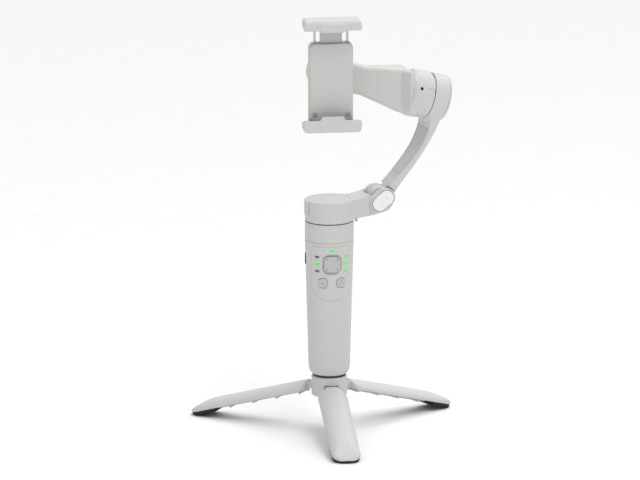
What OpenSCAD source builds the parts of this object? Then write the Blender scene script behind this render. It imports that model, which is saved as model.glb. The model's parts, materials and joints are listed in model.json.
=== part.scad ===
// Three-axis phone gimbal on a folding table tripod, in millimetres.
// +Z is up, the control panel and the phone face -Y, and z = 0 is the table.
// The origin is on the table, straight under the grip's axis.

/* [Tripod] */
// Outer radius of the hub, and of the three folded legs
hub_r = 13.6; // [12:0.1:15]
// Height of the leg pins above the table
pin_z = 32.85; // [30:0.05:36]
// Length of a leg from its pin to its tip
leg_len = 111; // [100:1:116]
// Slope of a spread leg below the horizontal, in degrees
leg_slope = 15.9; // [15.6:0.1:16.1]
// Wall of the hollow leg
leg_wall = 2.2; // [1.8:0.1:2.6]

/* [Grip] */
// Height of the grip's lower end above the table
grip_bottom = 43.2; // [42:0.1:46]
// Height of the crease between grip and collar
grip_top = 148.8; // [145:0.1:152]
// Radius of the grip at the crease
grip_r = 18.7; // [18:0.1:20]
// Wall of the grip's two shells
grip_wall = 2.2; // [1.8:0.1:2.6]
// Height of the joystick's centre
stick_z = 132.4; // [130:0.1:134]
// Height of the two buttons
button_z = 117.6; // [114:0.1:119]

/* [Arm] */
// Height of the seam under the pan cap
pan_seam = 163.8; // [162:0.1:166]
// Height of the top of the pan cap
pan_top = 180; // [178:0.1:182]
// Turn of the arm about the pan axis as built, in degrees
arm_yaw = 12; // [0:1:14]
// Distance of the fold hinge from the pan axis
hinge_x = 39.5; // [38:0.5:41]
// Height of the fold hinge
hinge_z = 178; // [177:0.5:180]
// Width of the arm from front to back at the hinge
arm_w = 19; // [18:0.5:21]
// Distance of the tilt motor's seam from the pan axis
tilt_x = 79; // [78:0.5:80]
// Slope of the tilt axis below the horizontal, in degrees
tilt_dip = 15; // [12:1:16]
// Outer radius of the tilt motor
tilt_r = 18; // [17:0.5:18]

/* [Clamp] */
// Height of the point where the pan, tilt and roll axes cross
axes_z = 276.5; // [275:0.5:278]
// Opening between the jaws as built
jaw_gap = 71.5; // [66:0.5:74]
// Width of the jaws
jaw_w = 44.5; // [42:0.5:48]
// Height of the middle of the opening
slot_z = 280.1; // [279:0.1:281]
// Depth of the phone slot, front to back
slot_d = 9; // [8:0.5:10]

/* [Hidden] */
$fn = 64;

leg_angles = [-90, 30, 150];
pin_r = 8.2;            // distance of a leg pin from the hub's axis
leg_top = 14 - pin_r;   // height of a leg's ridge over its pin
leg_start = 7.2;        // where the hollow part of a leg begins
leg_half = 58;          // half the angle that a leg's section spans
leg_edge = -1.2;        // height of a leg's lower edges over its pin
pad_start = 88;         // distance from the pin where the foot pad begins
pad_depth = 3;          // thickness of the foot pad
root_run = 9;           // length of the leg's round root
tip_run = 30;           // length over which the ridge comes down to the tip
rib_start = 13.4;       // distance from the pin to the first rib
rib_step = 20;          // distance between two ribs
rib_count = 4;
rib_drop = 2;           // height by which the ribs stand out of the hollow
run_fit = 0.05;         // clearance of a running fit
side_gap = 0.35;        // clearance at the sides of a moving part
side_low = 168.3;       // lower edge of the raised panel on the pan cap's side
seam_gap = 0.8;         // open seam between the collar and the pan cap

grip_tip_r = 12.4;      // grip radius at its rounded lower edge
screw_x = 9.5;          // distance of the grip's screws from its middle plane
ear_r = 9.6;            // radius of the hinge ears
tongue_t = 9.6;         // thickness of the tongue between the ears
knuckle_clear = 10.2;   // radius kept free round the hinge
tilt_z = axes_z - tilt_x * tan(tilt_dip);
back_y = -4.6;          // rear face of the clamp's back plate
jaw_back = -7.8;        // rear face of both jaws
slot_back = -12.4;      // rear face of the phone slot
slot_front = slot_back - slot_d;
low_z = slot_z - jaw_gap / 2;    // phone's resting face on the lower pad
high_z = slot_z + jaw_gap / 2;   // face of the upper pad
pad_t = 1.2;            // thickness of the jaw pads
jaw_t = 7;              // thickness of the jaws
lip_t = 2;              // thickness of the lips in front of the phone
tab_w = 17.2;           // width of the lips' middle tab
plate_w = 34;           // width of the clamp's back plate
plate_low = low_z - pad_t - 5;
plate_high = high_z - 11;
tongue_w = 17;          // width of the upper jaw's tongue
rod_x = 12.6;           // distance of the guide rods from the middle
roll_r = 16;            // outer radius of the roll motor
roll_y0 = 3;            // front and rear faces of the roll motor's housing
roll_y1 = 17;
housing_l = 11.8;       // length of the tilt motor's housing on the upper arm
barrel_l = 17;          // length of the bracket's barrel along the tilt axis
mark_angle = -21;       // turn of the marker groove and the small screw about the tilt axis
cover_rim = 1.3;        // width of the upper arm's rim beside its inlaid cover
ear_front = -arm_w / 2 - side_gap;   // front face of the ears, clear of the upper arm
button_turn = -38;      // turn of the oval hinge button
usb_z = 134;            // height of the charging port
screw_heights = [70, 96, 139];       // heights of the grip's rear screws
panel_half = 15;        // half the control panel's width, seen from the front
panel_turn_z = 114.5;   // height where the panel's round lower end begins
panel_drop = 11;        // height of that round end
panel_top = 146.2;      // height of the panel's upper edge
key_x = 6.9;            // distance of a button from the middle
led_angle = 38;         // turn of the side indicators about the grip's axis
led_step = 5.6;         // height between two side indicators
led_y = -16.4;          // middle of an indicator, seen from the grip's axis
led_top_z = 143.4;      // height of the indicator over the joystick
clamp_screw_x = 12.5;   // distance of the clamp's screws from the middle

light_shell = "gainsboro";
dark_rubber = "dimgray";
steel = "silver";
board_green = "darkgreen";

// ---------- helpers ----------

function bez(p, t) = pow(1 - t, 3) * p[0] + 3 * pow(1 - t, 2) * t * p[1]
    + 3 * (1 - t) * t * t * p[2] + pow(t, 3) * p[3];
function curve(p, n) = [for (i = [0:n]) bez(p, i / n)];
function arc(r, a0, a1, n) = [for (i = [0:n]) let (a = a0 + (a1 - a0) * i / n) r * [cos(a), sin(a)]];

// Profile of the grip's outside: radius at a height, straight taper with a rounded lower edge
function grip_radius(z) = let (u = (z - grip_bottom) / (grip_top - grip_bottom))
    z < grip_bottom + 8
    ? grip_tip_r + (16 - grip_tip_r) * sqrt(1 - pow(1 - (z - grip_bottom) / 8, 2))
    : 16 + (grip_r - 16) * (u - 8 / (grip_top - grip_bottom)) / (1 - 8 / (grip_top - grip_bottom));

grip_levels = [0, 0.3, 1, 2, 3.5, 5.5, 8];

module grip_solid(inset) {
    low = grip_bottom + (inset > 0 ? inset : 0);
    rotate_extrude()
        polygon(concat([[0, low]],
            [for (h = grip_levels) [grip_radius(grip_bottom + h) - inset, max(low, grip_bottom + h)]],
            [[grip_r - inset, grip_top], [0, grip_top]]));
}

// A ring about Z
module ring(r_out, r_in, h) {
    difference() {
        cylinder(r = r_out, h = h);
        translate([0, 0, -1]) cylinder(r = r_in, h = h + 2);
    }
}

// A cylinder along Y from y0 to y1
module along_y(r, y0, y1) {
    translate([0, y0, 0]) rotate([-90, 0, 0]) cylinder(r = r, h = y1 - y0);
}

// A slab with rounded corners seen along Y
module slab_y(w, h, r, y0, y1) {
    translate([0, y1, 0]) rotate([90, 0, 0]) linear_extrude(y1 - y0) round_rect(w, h, r);
}

module round_rect(w, h, r) {
    square([w - 2 * r, h], center = true);
    square([w, h - 2 * r], center = true);
    for (x = [-1, 1], y = [-1, 1])
        translate([x * (w / 2 - r), y * (h / 2 - r)]) circle(r = r, $fn = 32);
}

// A long oval with straight sides
module stadium(l, w) {
    square([l - w, w], center = true);
    for (x = [-1, 1]) translate([x * (l - w) / 2, 0]) circle(d = w, $fn = 48);
}

module in_arm() rotate([0, 0, arm_yaw]) children();

module at_hinge() in_arm() translate([hinge_x, 0, hinge_z]) children();

// Frame of the tilt motor: +Z runs out of the seam towards the end cap
module at_tilt() in_arm() translate([tilt_x, 0, tilt_z]) rotate([0, 90 + tilt_dip, 0]) children();

// Frame of the roll motor: +Z runs back from the clamp
module at_roll() translate([0, 0, axes_z]) rotate([-90, 0, 0]) children();

// ---------- tripod ----------

module hub_frame(a) rotate([0, 0, a]) translate([pin_r, 0, pin_z]) children();

module tripod_hub() {
    color(light_shell) difference() {
        rotate_extrude() polygon([[0, 26], [11.4, 26], [hub_r, 28.2], [hub_r, 40.7], [12.8, 41.5], [0, 41.5]]);
        for (a = leg_angles) hub_frame(a) {
            translate([-4.6, -5, -12]) cube([20, 10, 12]);
            translate([0, 5, 0]) rotate([90, 0, 0]) cylinder(r = 4.25, h = 10);
            rotate([0, leg_slope, 0]) translate([0, -5, -4]) cube([20, 10, 8.25]);
            translate([0, 9.8, 0]) rotate([90, 0, 0]) cylinder(r = 1.5, h = 19.6);
        }
        translate([0, 0, 38.2]) cylinder(r = 5.6, h = 5, $fn = 6);
    }
}

module tripod_stud() {
    color(steel) union() {
        translate([0, 0, 38.2]) cylinder(r = 5.6, h = 3, $fn = 6);
        translate([0, 0, 41]) cylinder(r = 3.1, h = 9);
    }
}

module hub_washer() {
    color(dark_rubber) translate([0, 0, 41.5]) ring(12.4, 5.8, grip_bottom - 41.5);
}

module leg_pins() {
    color(steel) for (a = leg_angles) hub_frame(a)
        translate([0, 9.8, 0]) rotate([90, 0, 0]) cylinder(r = 1.5, h = 19.6);
}

// A leg lying along +X with its pin at the origin, seen from above
module leg_outline(inset) {
    polygon(concat([for (a = [90:10:270]) [leg_start + root_run + (root_run - inset) * cos(a), (12 - inset) * sin(a)]],
        [[leg_len - 11.5, inset - 12], [leg_len - 11.5, 12 - inset]]));
    translate([leg_len - 11.5, 0]) circle(r = 11.5 - inset);
}

// The same leg seen from the side, its ridge coming down to the tip
module leg_side(inset) {
    low = leg_edge - 2;
    rotate([90, 0, 0]) translate([0, 0, -20]) linear_extrude(40) polygon(concat([[-10, -20], [-10, leg_top + 0.1 - inset]],
        [for (a = [90:-10:0]) [leg_len - tip_run + (tip_run - inset) * cos(a), low + (leg_top + 0.1 - inset - low) * sin(a)]],
        [[leg_len - inset, -20]]));
}

module leg_shape() {
    difference() {
        union() {
            difference() {
                intersection() {
                    translate([leg_start, 0, 0]) rotate([90, 0, 90]) linear_extrude(leg_len) translate([0, leg_top - 14])
                        polygon(concat(arc(14, 90 - leg_half, 90 + leg_half, 24), [[0, 5.4]]));
                    translate([0, 0, -20]) linear_extrude(40) leg_outline(0);
                    translate([0, -20, leg_edge]) cube([leg_len + 5, 40, 20]);
                    leg_side(0);
                }
                intersection() {
                    translate([leg_start + 2.4, 0, 0]) rotate([90, 0, 90]) linear_extrude(leg_len - leg_start - 5.4)
                        translate([0, leg_top - 14])
                        polygon(concat(arc(14 - leg_wall, 90 - leg_half + 8, 90 + leg_half - 8, 20), [[0, 0]]));
                    translate([0, 0, -20]) linear_extrude(40) leg_outline(leg_wall);
                    leg_side(leg_wall);
                }
            }
            // ribs and a spine that stand a little out of the hollow
            intersection() {
                union() {
                    for (i = [0:rib_count - 1]) translate([rib_start + i * rib_step, -9.6, leg_edge - rib_drop]) cube([1.5, 19.2, 8]);
                    translate([leg_start + 2, -0.8, leg_edge - rib_drop]) cube([pad_start - leg_start - 2.2, 1.6, 8]);
                }
                rotate([90, 0, 90]) linear_extrude(leg_len) translate([0, leg_top - 14])
                    polygon(concat(arc(13, 90 - leg_half, 90 + leg_half, 24), [[-9.6, 0], [9.6, 0]]));
            }
            along_y(3.4, -4.4, 4.4);
            translate([0, -4.4, leg_edge]) cube([leg_start + 4, 8.8, 4.6]);
        }
        along_y(1.5 + run_fit, -6, 6);
    }
}

module leg_place(a) hub_frame(a) rotate([0, leg_slope, 0]) children();

module leg(i) {
    color(light_shell) leg_place(leg_angles[i]) leg_shape();
}

// Pad under the leg's tip, cut flat where it stands on the table
module foot_pad(i) {
    color(dark_rubber) intersection() {
        leg_place(leg_angles[i]) translate([0, 0, leg_edge - pad_depth]) linear_extrude(pad_depth) intersection() {
            leg_outline(0.8);
            translate([pad_start, -20]) square([40, 40]);
        }
        translate([-200, -200, 0]) cube([400, 400, 40]);
    }
}

// ---------- grip ----------

// Front view of the control panel: straight sides, a round lower end
module panel_outline(grow) {
    w = panel_half + grow;
    rotate([90, 0, 0]) linear_extrude(40) polygon(concat([[w, panel_top + grow], [-w, panel_top + grow]],
        [for (a = [180:10:360]) [w * cos(a), panel_turn_z + (panel_drop + grow) * sin(a)]]));
}

module usb_opening(grow) {
    translate([-22, 0, usb_z]) rotate([90, 0, 90]) linear_extrude(8) rotate([0, 0, 90]) stadium(9.2 + grow, 3.4 + grow);
}

// Each screw spot lies on the grip's surface, and its screw runs forward from there
module screw_spots() {
    for (z = screw_heights) for (x = [-1, 1])
        translate([x * screw_x, sqrt(pow(grip_radius(z), 2) - pow(screw_x, 2)), z]) children();
}

module grip_front_shell() {
    color(light_shell) difference() {
        grip_solid(0);
        grip_solid(grip_wall);
        translate([-30, 0, 0]) cube([60, 30, 200]);
        translate([0, 0, grip_bottom - 1]) cylinder(r = 9, h = 5);
        panel_outline(0.1);
        usb_opening(0.2);
    }
}

module grip_rear_shell() {
    color(light_shell) difference() {
        union() {
            difference() {
                grip_solid(0);
                grip_solid(grip_wall);
            }
            intersection() {
                grip_solid(0.5);
                screw_spots() along_y(2.8, -3.6, 2);
            }
        }
        translate([-30, -30, 0]) cube([60, 30, 200]);
        translate([0, 0, grip_bottom - 1]) cylinder(r = 9, h = 5);
        usb_opening(0.2);
        screw_spots() along_y(1.1, -6, 2);
        screw_spots() along_y(2.1, -2, 4);
    }
}

module base_plug() {
    color(dark_rubber) difference() {
        union() {
            translate([0, 0, grip_bottom]) cylinder(r = 8.8, h = 3);
            translate([0, 0, grip_bottom + 2.4]) cylinder(r = 11.2, h = 7);
        }
        translate([0, 0, grip_bottom - 1]) cylinder(r = 4.6, h = 12);
    }
}

module thread_insert() {
    color("goldenrod") translate([0, 0, grip_bottom]) ring(4.6, 3.15, 9.4);
}

module chassis() {
    color("darkgray") difference() {
        union() {
            translate([-10.2, 3.4, grip_bottom + 9.4]) cube([20.4, 1.6, 93.4]);
            translate([0, 0, 145.6]) cylinder(r = 15.8, h = 3.2);
            translate([0, 0, grip_bottom + 9.4]) cylinder(r = 11, h = 2.2);
        }
        translate([0, 0, 140]) cylinder(r = 3.2, h = 12);
        translate([-1.6, 0, 140]) cube([10, 12, 12]);
    }
}

module battery_cell() {
    color("steelblue") union() {
        translate([0, -5, 55.4]) cylinder(r = 8.2, h = 48);
        translate([0, -5, 103]) cylinder(r = 2.4, h = 1.6);
    }
}

module main_board() {
    color(board_green) union() {
        translate([-8.2, 6.2, 60]) cube([16.4, 1.2, 78]);
        for (z = [70, 88, 106, 122]) translate([-4, 7.4, z]) cube([8, 1.4, 8]);
        for (z = [64, 98, 134]) translate([-3, 5, z]) cube([6, 1.2, 2]);
    }
}

module panel_board() {
    color(board_green) union() {
        translate([-8.7, -11.4, 107]) cube([17.4, 1.2, 38.4]);
        translate([-2, -10.2, 110]) cube([4, 13.6, 2]);
    }
}

// The panel follows the grip's curve and closes its front opening
module control_panel() {
    color(light_shell) difference() {
        intersection() {
            difference() {
                grip_solid(-0.05);
                grip_solid(2.4);
            }
            panel_outline(0);
        }
        translate([0, 0, stick_z]) slab_y(14.2, 14.2, 4.4, -22, -5);
        for (x = [-1, 1]) translate([x * key_x, 0, button_z]) slab_y(7.9, 7.9, 3, -22, -5);
        led_spots() cube([4, 12, 2], center = true);
    }
}

module led_spots() {
    translate([0, led_y, led_top_z]) children();
    for (dz = [-led_step, 0, led_step]) for (a = [-led_angle, led_angle])
        rotate([0, 0, a]) translate([0, led_y, stick_z + dz]) children();
}

module led_bar() cube([3.2, 3.8, 1.3], center = true);

module lit_leds() {
    color("lime") {
        translate([0, led_y, led_top_z]) led_bar();
        rotate([0, 0, -led_angle]) translate([0, led_y, stick_z]) led_bar();
        for (dz = [-led_step, 0, led_step]) rotate([0, 0, led_angle]) translate([0, led_y, stick_z + dz]) led_bar();
    }
}

module dark_leds() {
    color("dimgray") for (dz = [-led_step, led_step])
        rotate([0, 0, -led_angle]) translate([0, led_y, stick_z + dz]) led_bar();
}

module joystick_base() {
    color("black") translate([0, 0, stick_z]) difference() {
        slab_y(11, 11, 1, -13.4, -11.4);
        along_y(3.2, -14, -11);
    }
}

module joystick_yoke() {
    color(steel) translate([0, 0, stick_z]) difference() {
        along_y(2.6, -14.2, -11.9);
        along_y(1.5, -15, -11);
    }
}

module joystick_cap() {
    color(light_shell) translate([0, 0, stick_z]) union() {
        intersection() {
            slab_y(12.4, 12.4, 3.8, -19.4, -15.2);
            translate([0, 12, 0]) sphere(r = 31.2, $fn = 96);
        }
        along_y(1.2, -16, -12);
    }
}

module push_button(x) {
    color(light_shell) translate([x, 0, button_z]) union() {
        slab_y(7.4, 7.4, 2.8, -18.1, -14.6);
        along_y(1.4, -15, -12.1);
    }
}

module usb_port() {
    color("dimgray") translate([-15, 0, usb_z]) difference() {
        rotate([90, 0, 90]) translate([0, 0, -3.6]) linear_extrude(5) rotate([0, 0, 90]) stadium(9, 3.2);
        rotate([90, 0, 90]) translate([0, 0, -5]) linear_extrude(6) rotate([0, 0, 90]) stadium(8.2, 2.4);
    }
}

module grip_screws() {
    color(steel) screw_spots() {
        along_y(2, -2, -0.8);
        along_y(1.1, -8, -1.8);
    }
}

// ---------- pan motor ----------

module pan_collar() {
    color(light_shell) translate([0, 0, grip_top]) difference() {
        cylinder(r = grip_r, h = pan_seam - grip_top - seam_gap);
        translate([0, 0, 2]) cylinder(r = grip_r - 2.2, h = 20);
        translate([0, 0, -1]) cylinder(r = 3, h = 5);
    }
}

// Wound stator: nine teeth on a hub, with a foot below that it is fixed by
module stator(h, tooth, foot) {
    for (a = [0:40:320]) rotate([0, 0, a]) translate([5.6, -1.6, 0]) cube([tooth, 3.2, h]);
    ring(6.4, 3.45, h);
    translate([0, 0, -foot]) ring(4.6, 3.45, foot + 0.3);
}

module pan_stator() {
    color("orange") translate([0, 0, grip_top + 4.6]) stator(7, 6.4, 2.6);
}

module pan_bearings() {
    color(steel) for (z = [grip_top + 2.2, grip_top + 10]) translate([0, 0, z]) ring(3.3 + 0.1, 2 + run_fit, 2);
}

module pan_bell() {
    color("darkgray") translate([0, 0, grip_top]) union() {
        translate([0, 0, 4.2]) ring(15.2, 12.9, 12);
        translate([0, 0, 13.4]) cylinder(r = 15.2, h = 3);
        translate([0, 0, 2.4]) cylinder(r = 2, h = 12);
    }
}

// ---------- lower arm ----------

module arm_side_profile() {
    polygon(concat(
        curve([[8, pan_seam + 1], [20, pan_seam + 1], [31, pan_seam + 1.5], [hinge_x, hinge_z - ear_r]], 10),
        [[hinge_x, hinge_z + ear_r]],
        curve([[hinge_x - 3, hinge_z + ear_r - 0.4], [30, hinge_z + 5], [20, pan_top - 0.5], [8, pan_top - 0.4]], 10)));
}

module lower_arm() {
    color(light_shell) difference() {
        union() {
            in_arm() {
                rotate_extrude() polygon([[0, pan_seam], [grip_r, pan_seam], [grip_r, pan_top - 1], [grip_r - 0.3, pan_top - 0.3],
                    [grip_r - 1, pan_top], [0, pan_top]]);
                // raised panel on the cap's side
                intersection() {
                    translate([0, 0, side_low]) cylinder(r = grip_r + 0.5, h = pan_top - 0.4 - side_low);
                    rotate([0, 0, 169]) translate([0, -7.4, 160]) cube([30, 14.8, 30]);
                }
                intersection() {
                    translate([0, arm_w / 2 + 3, 0]) rotate([90, 0, 0]) linear_extrude(arm_w + 6) arm_side_profile();
                    linear_extrude(300) polygon([[0, -grip_r + 4], [14, -12.4], [24, -arm_w / 2], [60, -arm_w / 2],
                        [60, arm_w / 2], [24, arm_w / 2], [14, 12.4], [0, grip_r - 4]]);
                }
            }
            at_hinge() along_y(ear_r, ear_front, arm_w / 2);
            at_hinge() rotate([0, button_turn, 0]) translate([0, ear_front, 0]) rotate([90, 0, 0])
                linear_extrude(2.25) stadium(21.4, 14.6);
        }
        at_hinge() along_y(knuckle_clear, -tongue_t / 2 - side_gap, tongue_t / 2 + side_gap);
        at_hinge() translate([0, -tongue_t / 2 - side_gap, -14]) cube([20, tongue_t + 2 * side_gap, 28]);
        at_hinge() translate([-11, -tongue_t / 2 - side_gap, 3]) cube([11, tongue_t + 2 * side_gap, 12]);
        // the front ear ends at the oval's upper side
        at_hinge() rotate([0, button_turn, 0]) translate([-5, -30, 7.3]) cube([30, 30 - tongue_t / 2 - side_gap, 12]);
        at_hinge() along_y(3, -20, 20);
        at_hinge() rotate([0, button_turn, 0]) translate([0, ear_front, 0]) rotate([90, 0, 0])
            linear_extrude(4) stadium(18.9, 12.1);
        stop_pin_shape();
        // room for the pan motor's bell
        translate([0, 0, pan_seam - 1]) cylinder(r = grip_r - 2.4, h = 2.9);
        translate([0, 0, pan_top - 7.2]) cylinder(r = 15.6, h = 8);
        in_arm() translate([0, 0, pan_seam - 1]) cylinder(r = 5, h = 20);
    }
}

module pan_cap_cover() {
    color(light_shell) union() {
        translate([0, 0, pan_top - 1.6]) cylinder(r = 15.5, h = 1.6);
        translate([0, 0, pan_top - 7.2]) cylinder(r = 4.8, h = 6);
    }
}

module stop_pin_shape() in_arm() translate([grip_r + 1.9, -4, pan_seam - 2.2]) cylinder(r = 1, h = 5);

module pan_stop_pin() {
    color("gray") stop_pin_shape();
}

module hinge_pin() {
    color(steel) at_hinge() difference() {
        along_y(3, -8, arm_w / 2);
        along_y(1.6, -9, 6);
    }
}

module hinge_spring() {
    color(steel) at_hinge() for (i = [0:2]) translate([0, -9.6 + i * 0.6, 0]) rotate([90, 0, 0])
        rotate_extrude() translate([2.2, 0]) circle(r = 0.22, $fn = 16);
}

module hinge_button() {
    color("white") at_hinge() union() {
        rotate([0, button_turn, 0]) translate([0, -arm_w / 2 - 1.4, 0]) rotate([90, 0, 0])
            linear_extrude(2.2) stadium(18.4, 11.6);
        along_y(1.5, -arm_w / 2 - 2, -6.4);
    }
}

// ---------- upper arm ----------

arm_out = [[50.6, 184], [63, 200.5], [80, 221], [88.5, 246]];
arm_in = [[49.8, 193.3], [61.1, 205.7], [71, 215.4], [76, 231.6]];

// Side view of the upper arm
module upper_profile() {
    polygon(concat([[hinge_x + 6, hinge_z - 2]], curve(arm_out, 14), [[84, 262], [78, 246]],
        [for (i = [10:-1:0]) bez(arm_in, i / 10)], [[hinge_x + 4, hinge_z + 9]]));
}

// Taper of the arm's width, seen across the arm
module upper_taper(inset) {
    low = arm_w / 2 - inset;
    high = 13.6 - inset;
    translate([hinge_x, 0, hinge_z]) rotate([0, 35, 0]) translate([-60, 0, 0]) rotate([90, 0, 90]) linear_extrude(160)
        polygon([[-low, -20], [-low, 22], [-high, 74], [-high, 130], [high, 130], [high, 74], [low, 22], [low, -20]]);
}

// Recess for the inlaid cover along the arm's inner face
module cover_track(grow) {
    intersection() {
        translate([0, 20, 0]) rotate([90, 0, 0]) linear_extrude(40)
            polygon(concat([for (i = [1:10]) bez(arm_in, i / 10) + [-3, 2]],
                [for (i = [10:-1:1]) bez(arm_in, i / 10) + (1.8 + grow) * [0.8, -0.6]]));
        upper_taper(cover_rim - grow);
    }
}

module upper_arm() {
    color(light_shell) difference() {
        union() {
            in_arm() intersection() {
                translate([0, 20, 0]) rotate([90, 0, 0]) linear_extrude(40) upper_profile();
                upper_taper(0);
            }
            at_hinge() along_y(9.2, -tongue_t / 2, tongue_t / 2);
            at_tilt() cylinder(r = tilt_r, h = housing_l);
        }
        // space for the ears beside the tongue
        at_hinge() for (s = [-1, 1]) translate([0, s * (tongue_t / 2 + 10), 0])
            along_y(knuckle_clear + 1.2, -10, 10);
        at_hinge() along_y(3 + run_fit, -20, 20);
        at_tilt() translate([0, 0, -10]) cylinder(r = 24, h = 10);
        at_tilt() translate([0, 0, -1]) cylinder(r = tilt_r - 2, h = housing_l - 1.4);
        at_tilt() translate([0, 0, -1]) cylinder(r = 4, h = 20);
        at_tilt() translate([0, 0, housing_l]) cylinder(r = tilt_r, h = 10);
        in_arm() cover_track(0.1);
    }
}

module upper_arm_cover() {
    color("lightgray") in_arm() intersection() {
        cover_track(0);
        translate([0, 20, 0]) rotate([90, 0, 0]) linear_extrude(40) upper_profile();
    }
}

module tilt_end_cap() {
    color(light_shell) at_tilt() translate([0, 0, housing_l]) union() {
        rotate_extrude() polygon([[0, 0], [tilt_r, 0], [tilt_r - 0.4, 0.9], [tilt_r - 1.4, 1.7], [tilt_r - 3.4, 2.3], [0, 2.5]]);
        translate([0, 0, -2.2]) cylinder(r = 3.8, h = 3);
    }
}

module tilt_stator() {
    color("orange") at_tilt() translate([0, 0, housing_l - 4.4]) mirror([0, 0, 1]) stator(7, 6.4, 2);
}

module tilt_bearings() {
    color(steel) at_tilt() for (z = [1, 5]) translate([0, 0, z]) ring(3.4, 2 + run_fit, 2);
}

module tilt_bell() {
    color("darkgray") at_tilt() union() {
        translate([0, 0, -3]) ring(15, 12.8, 10.6);
        translate([0, 0, -3]) cylinder(r = 15, h = 2.6);
        translate([0, 0, -3]) cylinder(r = 2, h = 11);
    }
}

// ---------- tilt bracket and roll motor ----------

module bracket_arm_outline() {
    polygon([[-4, -13], [30, -11], [60, -17], [78, -17.8], [78, 17.8], [60, 17.4], [30, 12], [-4, 14]]);
}

module tilt_bracket() {
    color(light_shell) difference() {
        union() {
            at_tilt() translate([0, 0, -barrel_l]) cylinder(r = tilt_r, h = barrel_l - 0.4);
            in_arm() intersection() {
                translate([0, 40, axes_z]) rotate([90, 0, 0]) linear_extrude(80)
                    rotate([0, 0, -tilt_dip]) bracket_arm_outline();
                linear_extrude(400) polygon([[-6, 4], [20, 3], [38, 1], [56, -6], [tilt_x - 18, -14], [tilt_x - 14, -14],
                    [tilt_x - 14, 14], [tilt_x - 18, 16], [50, 14], [30, 12], [-6, 14]]);
                at_tilt_inverse_cut();
            }
            at_roll() translate([0, 0, roll_y0]) cylinder(r = roll_r, h = roll_y1 - roll_y0);
        }
        at_tilt() translate([0, 0, -3.2]) cylinder(r = tilt_r - 2, h = 6);
        at_roll() translate([0, 0, roll_y0 - 1]) cylinder(r = roll_r - 2, h = 12);
        at_roll() translate([0, 0, 0]) cylinder(r = 4, h = 40);
        at_bracket_screw() cylinder(r = 1.3, h = 10);
        // marker groove, open at the seam
        at_tilt() rotate([0, 0, mark_angle]) translate([-1.4, -tilt_r - 2, -7.3]) cube([2.8, 2.5, 9]);
    }
}

// Everything on the clamp's side of the tilt seam
module at_tilt_inverse_cut() {
    rotate([0, 0, -arm_yaw]) at_tilt() translate([-100, -100, -200]) cube([200, 200, 199.6]);
}

module at_bracket_screw() at_tilt() rotate([0, 0, mark_angle]) translate([0, -12, -11.8]) rotate([90, 0, 0]) children();

module bracket_screw() {
    color("black") at_bracket_screw() cylinder(r = 1.3, h = 5.6);
}

module roll_stator() {
    color("orange") at_roll() translate([0, 0, roll_y0 + 8]) mirror([0, 0, 1]) stator(6, 5, 3);
}

module roll_bearings() {
    color(steel) at_roll() for (y = [roll_y0 + 2, roll_y0 + 8]) translate([0, 0, y]) ring(3.4, 2 + run_fit, 2);
}

module roll_back_cover() {
    color(light_shell) at_roll() translate([0, 0, roll_y1]) union() {
        rotate_extrude() polygon([[0, 0], [roll_r - 0.4, 0], [roll_r - 0.8, 1], [roll_r - 2.4, 1.8], [0, 2.2]]);
        translate([0, 0, -3]) cylinder(r = 3.8, h = 4);
    }
}

module roll_bell() {
    color("darkgray") at_roll() union() {
        translate([0, 0, roll_y0 - 1]) ring(13.6, 11.4, 8);
        translate([0, 0, roll_y0 - 1]) cylinder(r = 13.6, h = 1.4);
        translate([0, 0, roll_y0 - 1]) cylinder(r = 2, h = 12);
        translate([0, 0, back_y]) cylinder(r = 9, h = roll_y0 - back_y);
    }
}

// ---------- clamp ----------

// A jaw's block: its underside at z = 0, its lips at the front
module jaw_block() {
    translate([-jaw_w / 2, slot_front - lip_t, 0]) cube([jaw_w, jaw_back - slot_front + lip_t, jaw_t]);
}

// Channel in the clamp's back for the upper jaw's tongue, wider by grow
module tongue_slab(low, high, grow) {
    translate([-tongue_w / 2 - grow, slot_back + 2 - grow, low])
        cube([tongue_w + 2 * grow, 2.4 + 2 * grow, high - low]);
}

module spring_room() {
    for (x = [-1, 1]) translate([x * rod_x, slot_back + 3.2, plate_low + 5]) cylinder(r = 1.7, h = 80);
}

module clamp_body() {
    color(light_shell) difference() {
        union() {
            translate([0, 0, (plate_low + plate_high) / 2])
                slab_y(plate_w, plate_high - plate_low, 5, slot_back + 1.6, back_y);
            translate([0, 0, low_z - pad_t - jaw_t]) jaw_block();
            translate([-jaw_w / 2, slot_front - lip_t, low_z - pad_t - 1]) cube([jaw_w, lip_t, pad_t + 2.9]);
            translate([-tab_w / 2, slot_front - lip_t, low_z]) cube([tab_w, lip_t, 5]);
        }
        tongue_slab(plate_low + 5, 400, 0.25);
        spring_room();
        at_roll() translate([0, 0, back_y - 1.2]) cylinder(r = 9, h = 4);
        for (x = [-1, 1]) translate([x * clamp_screw_x, 0, plate_low + 10]) along_y(1, slot_back, slot_back + 5);
    }
}

module clamp_front_plate() {
    color("lightgray") difference() {
        translate([0, 0, (plate_low + plate_high) / 2 + 2])
            slab_y(plate_w - 1.6, plate_high - plate_low - 6, 4, slot_back, slot_back + 1.6);
        for (x = [-1, 1]) translate([x * clamp_screw_x, 0, plate_low + 10]) along_y(1.8, slot_back - 1, slot_back + 1);
        for (x = [-1, 1]) translate([x * clamp_screw_x, 0, plate_low + 10]) along_y(1, slot_back - 1, slot_back + 3);
    }
}

module clamp_screws() {
    color(steel) for (x = [-1, 1]) translate([x * clamp_screw_x, 0, plate_low + 10]) {
        along_y(1.75, slot_back + 0.1, slot_back + 1);
        along_y(1, slot_back + 0.9, slot_back + 4.6);
    }
}

module lower_jaw_pad() {
    color(dark_rubber) translate([-jaw_w / 2 + 1.5, slot_front, low_z - pad_t]) cube([jaw_w - 3, slot_d - 0.2, pad_t]);
}

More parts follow.
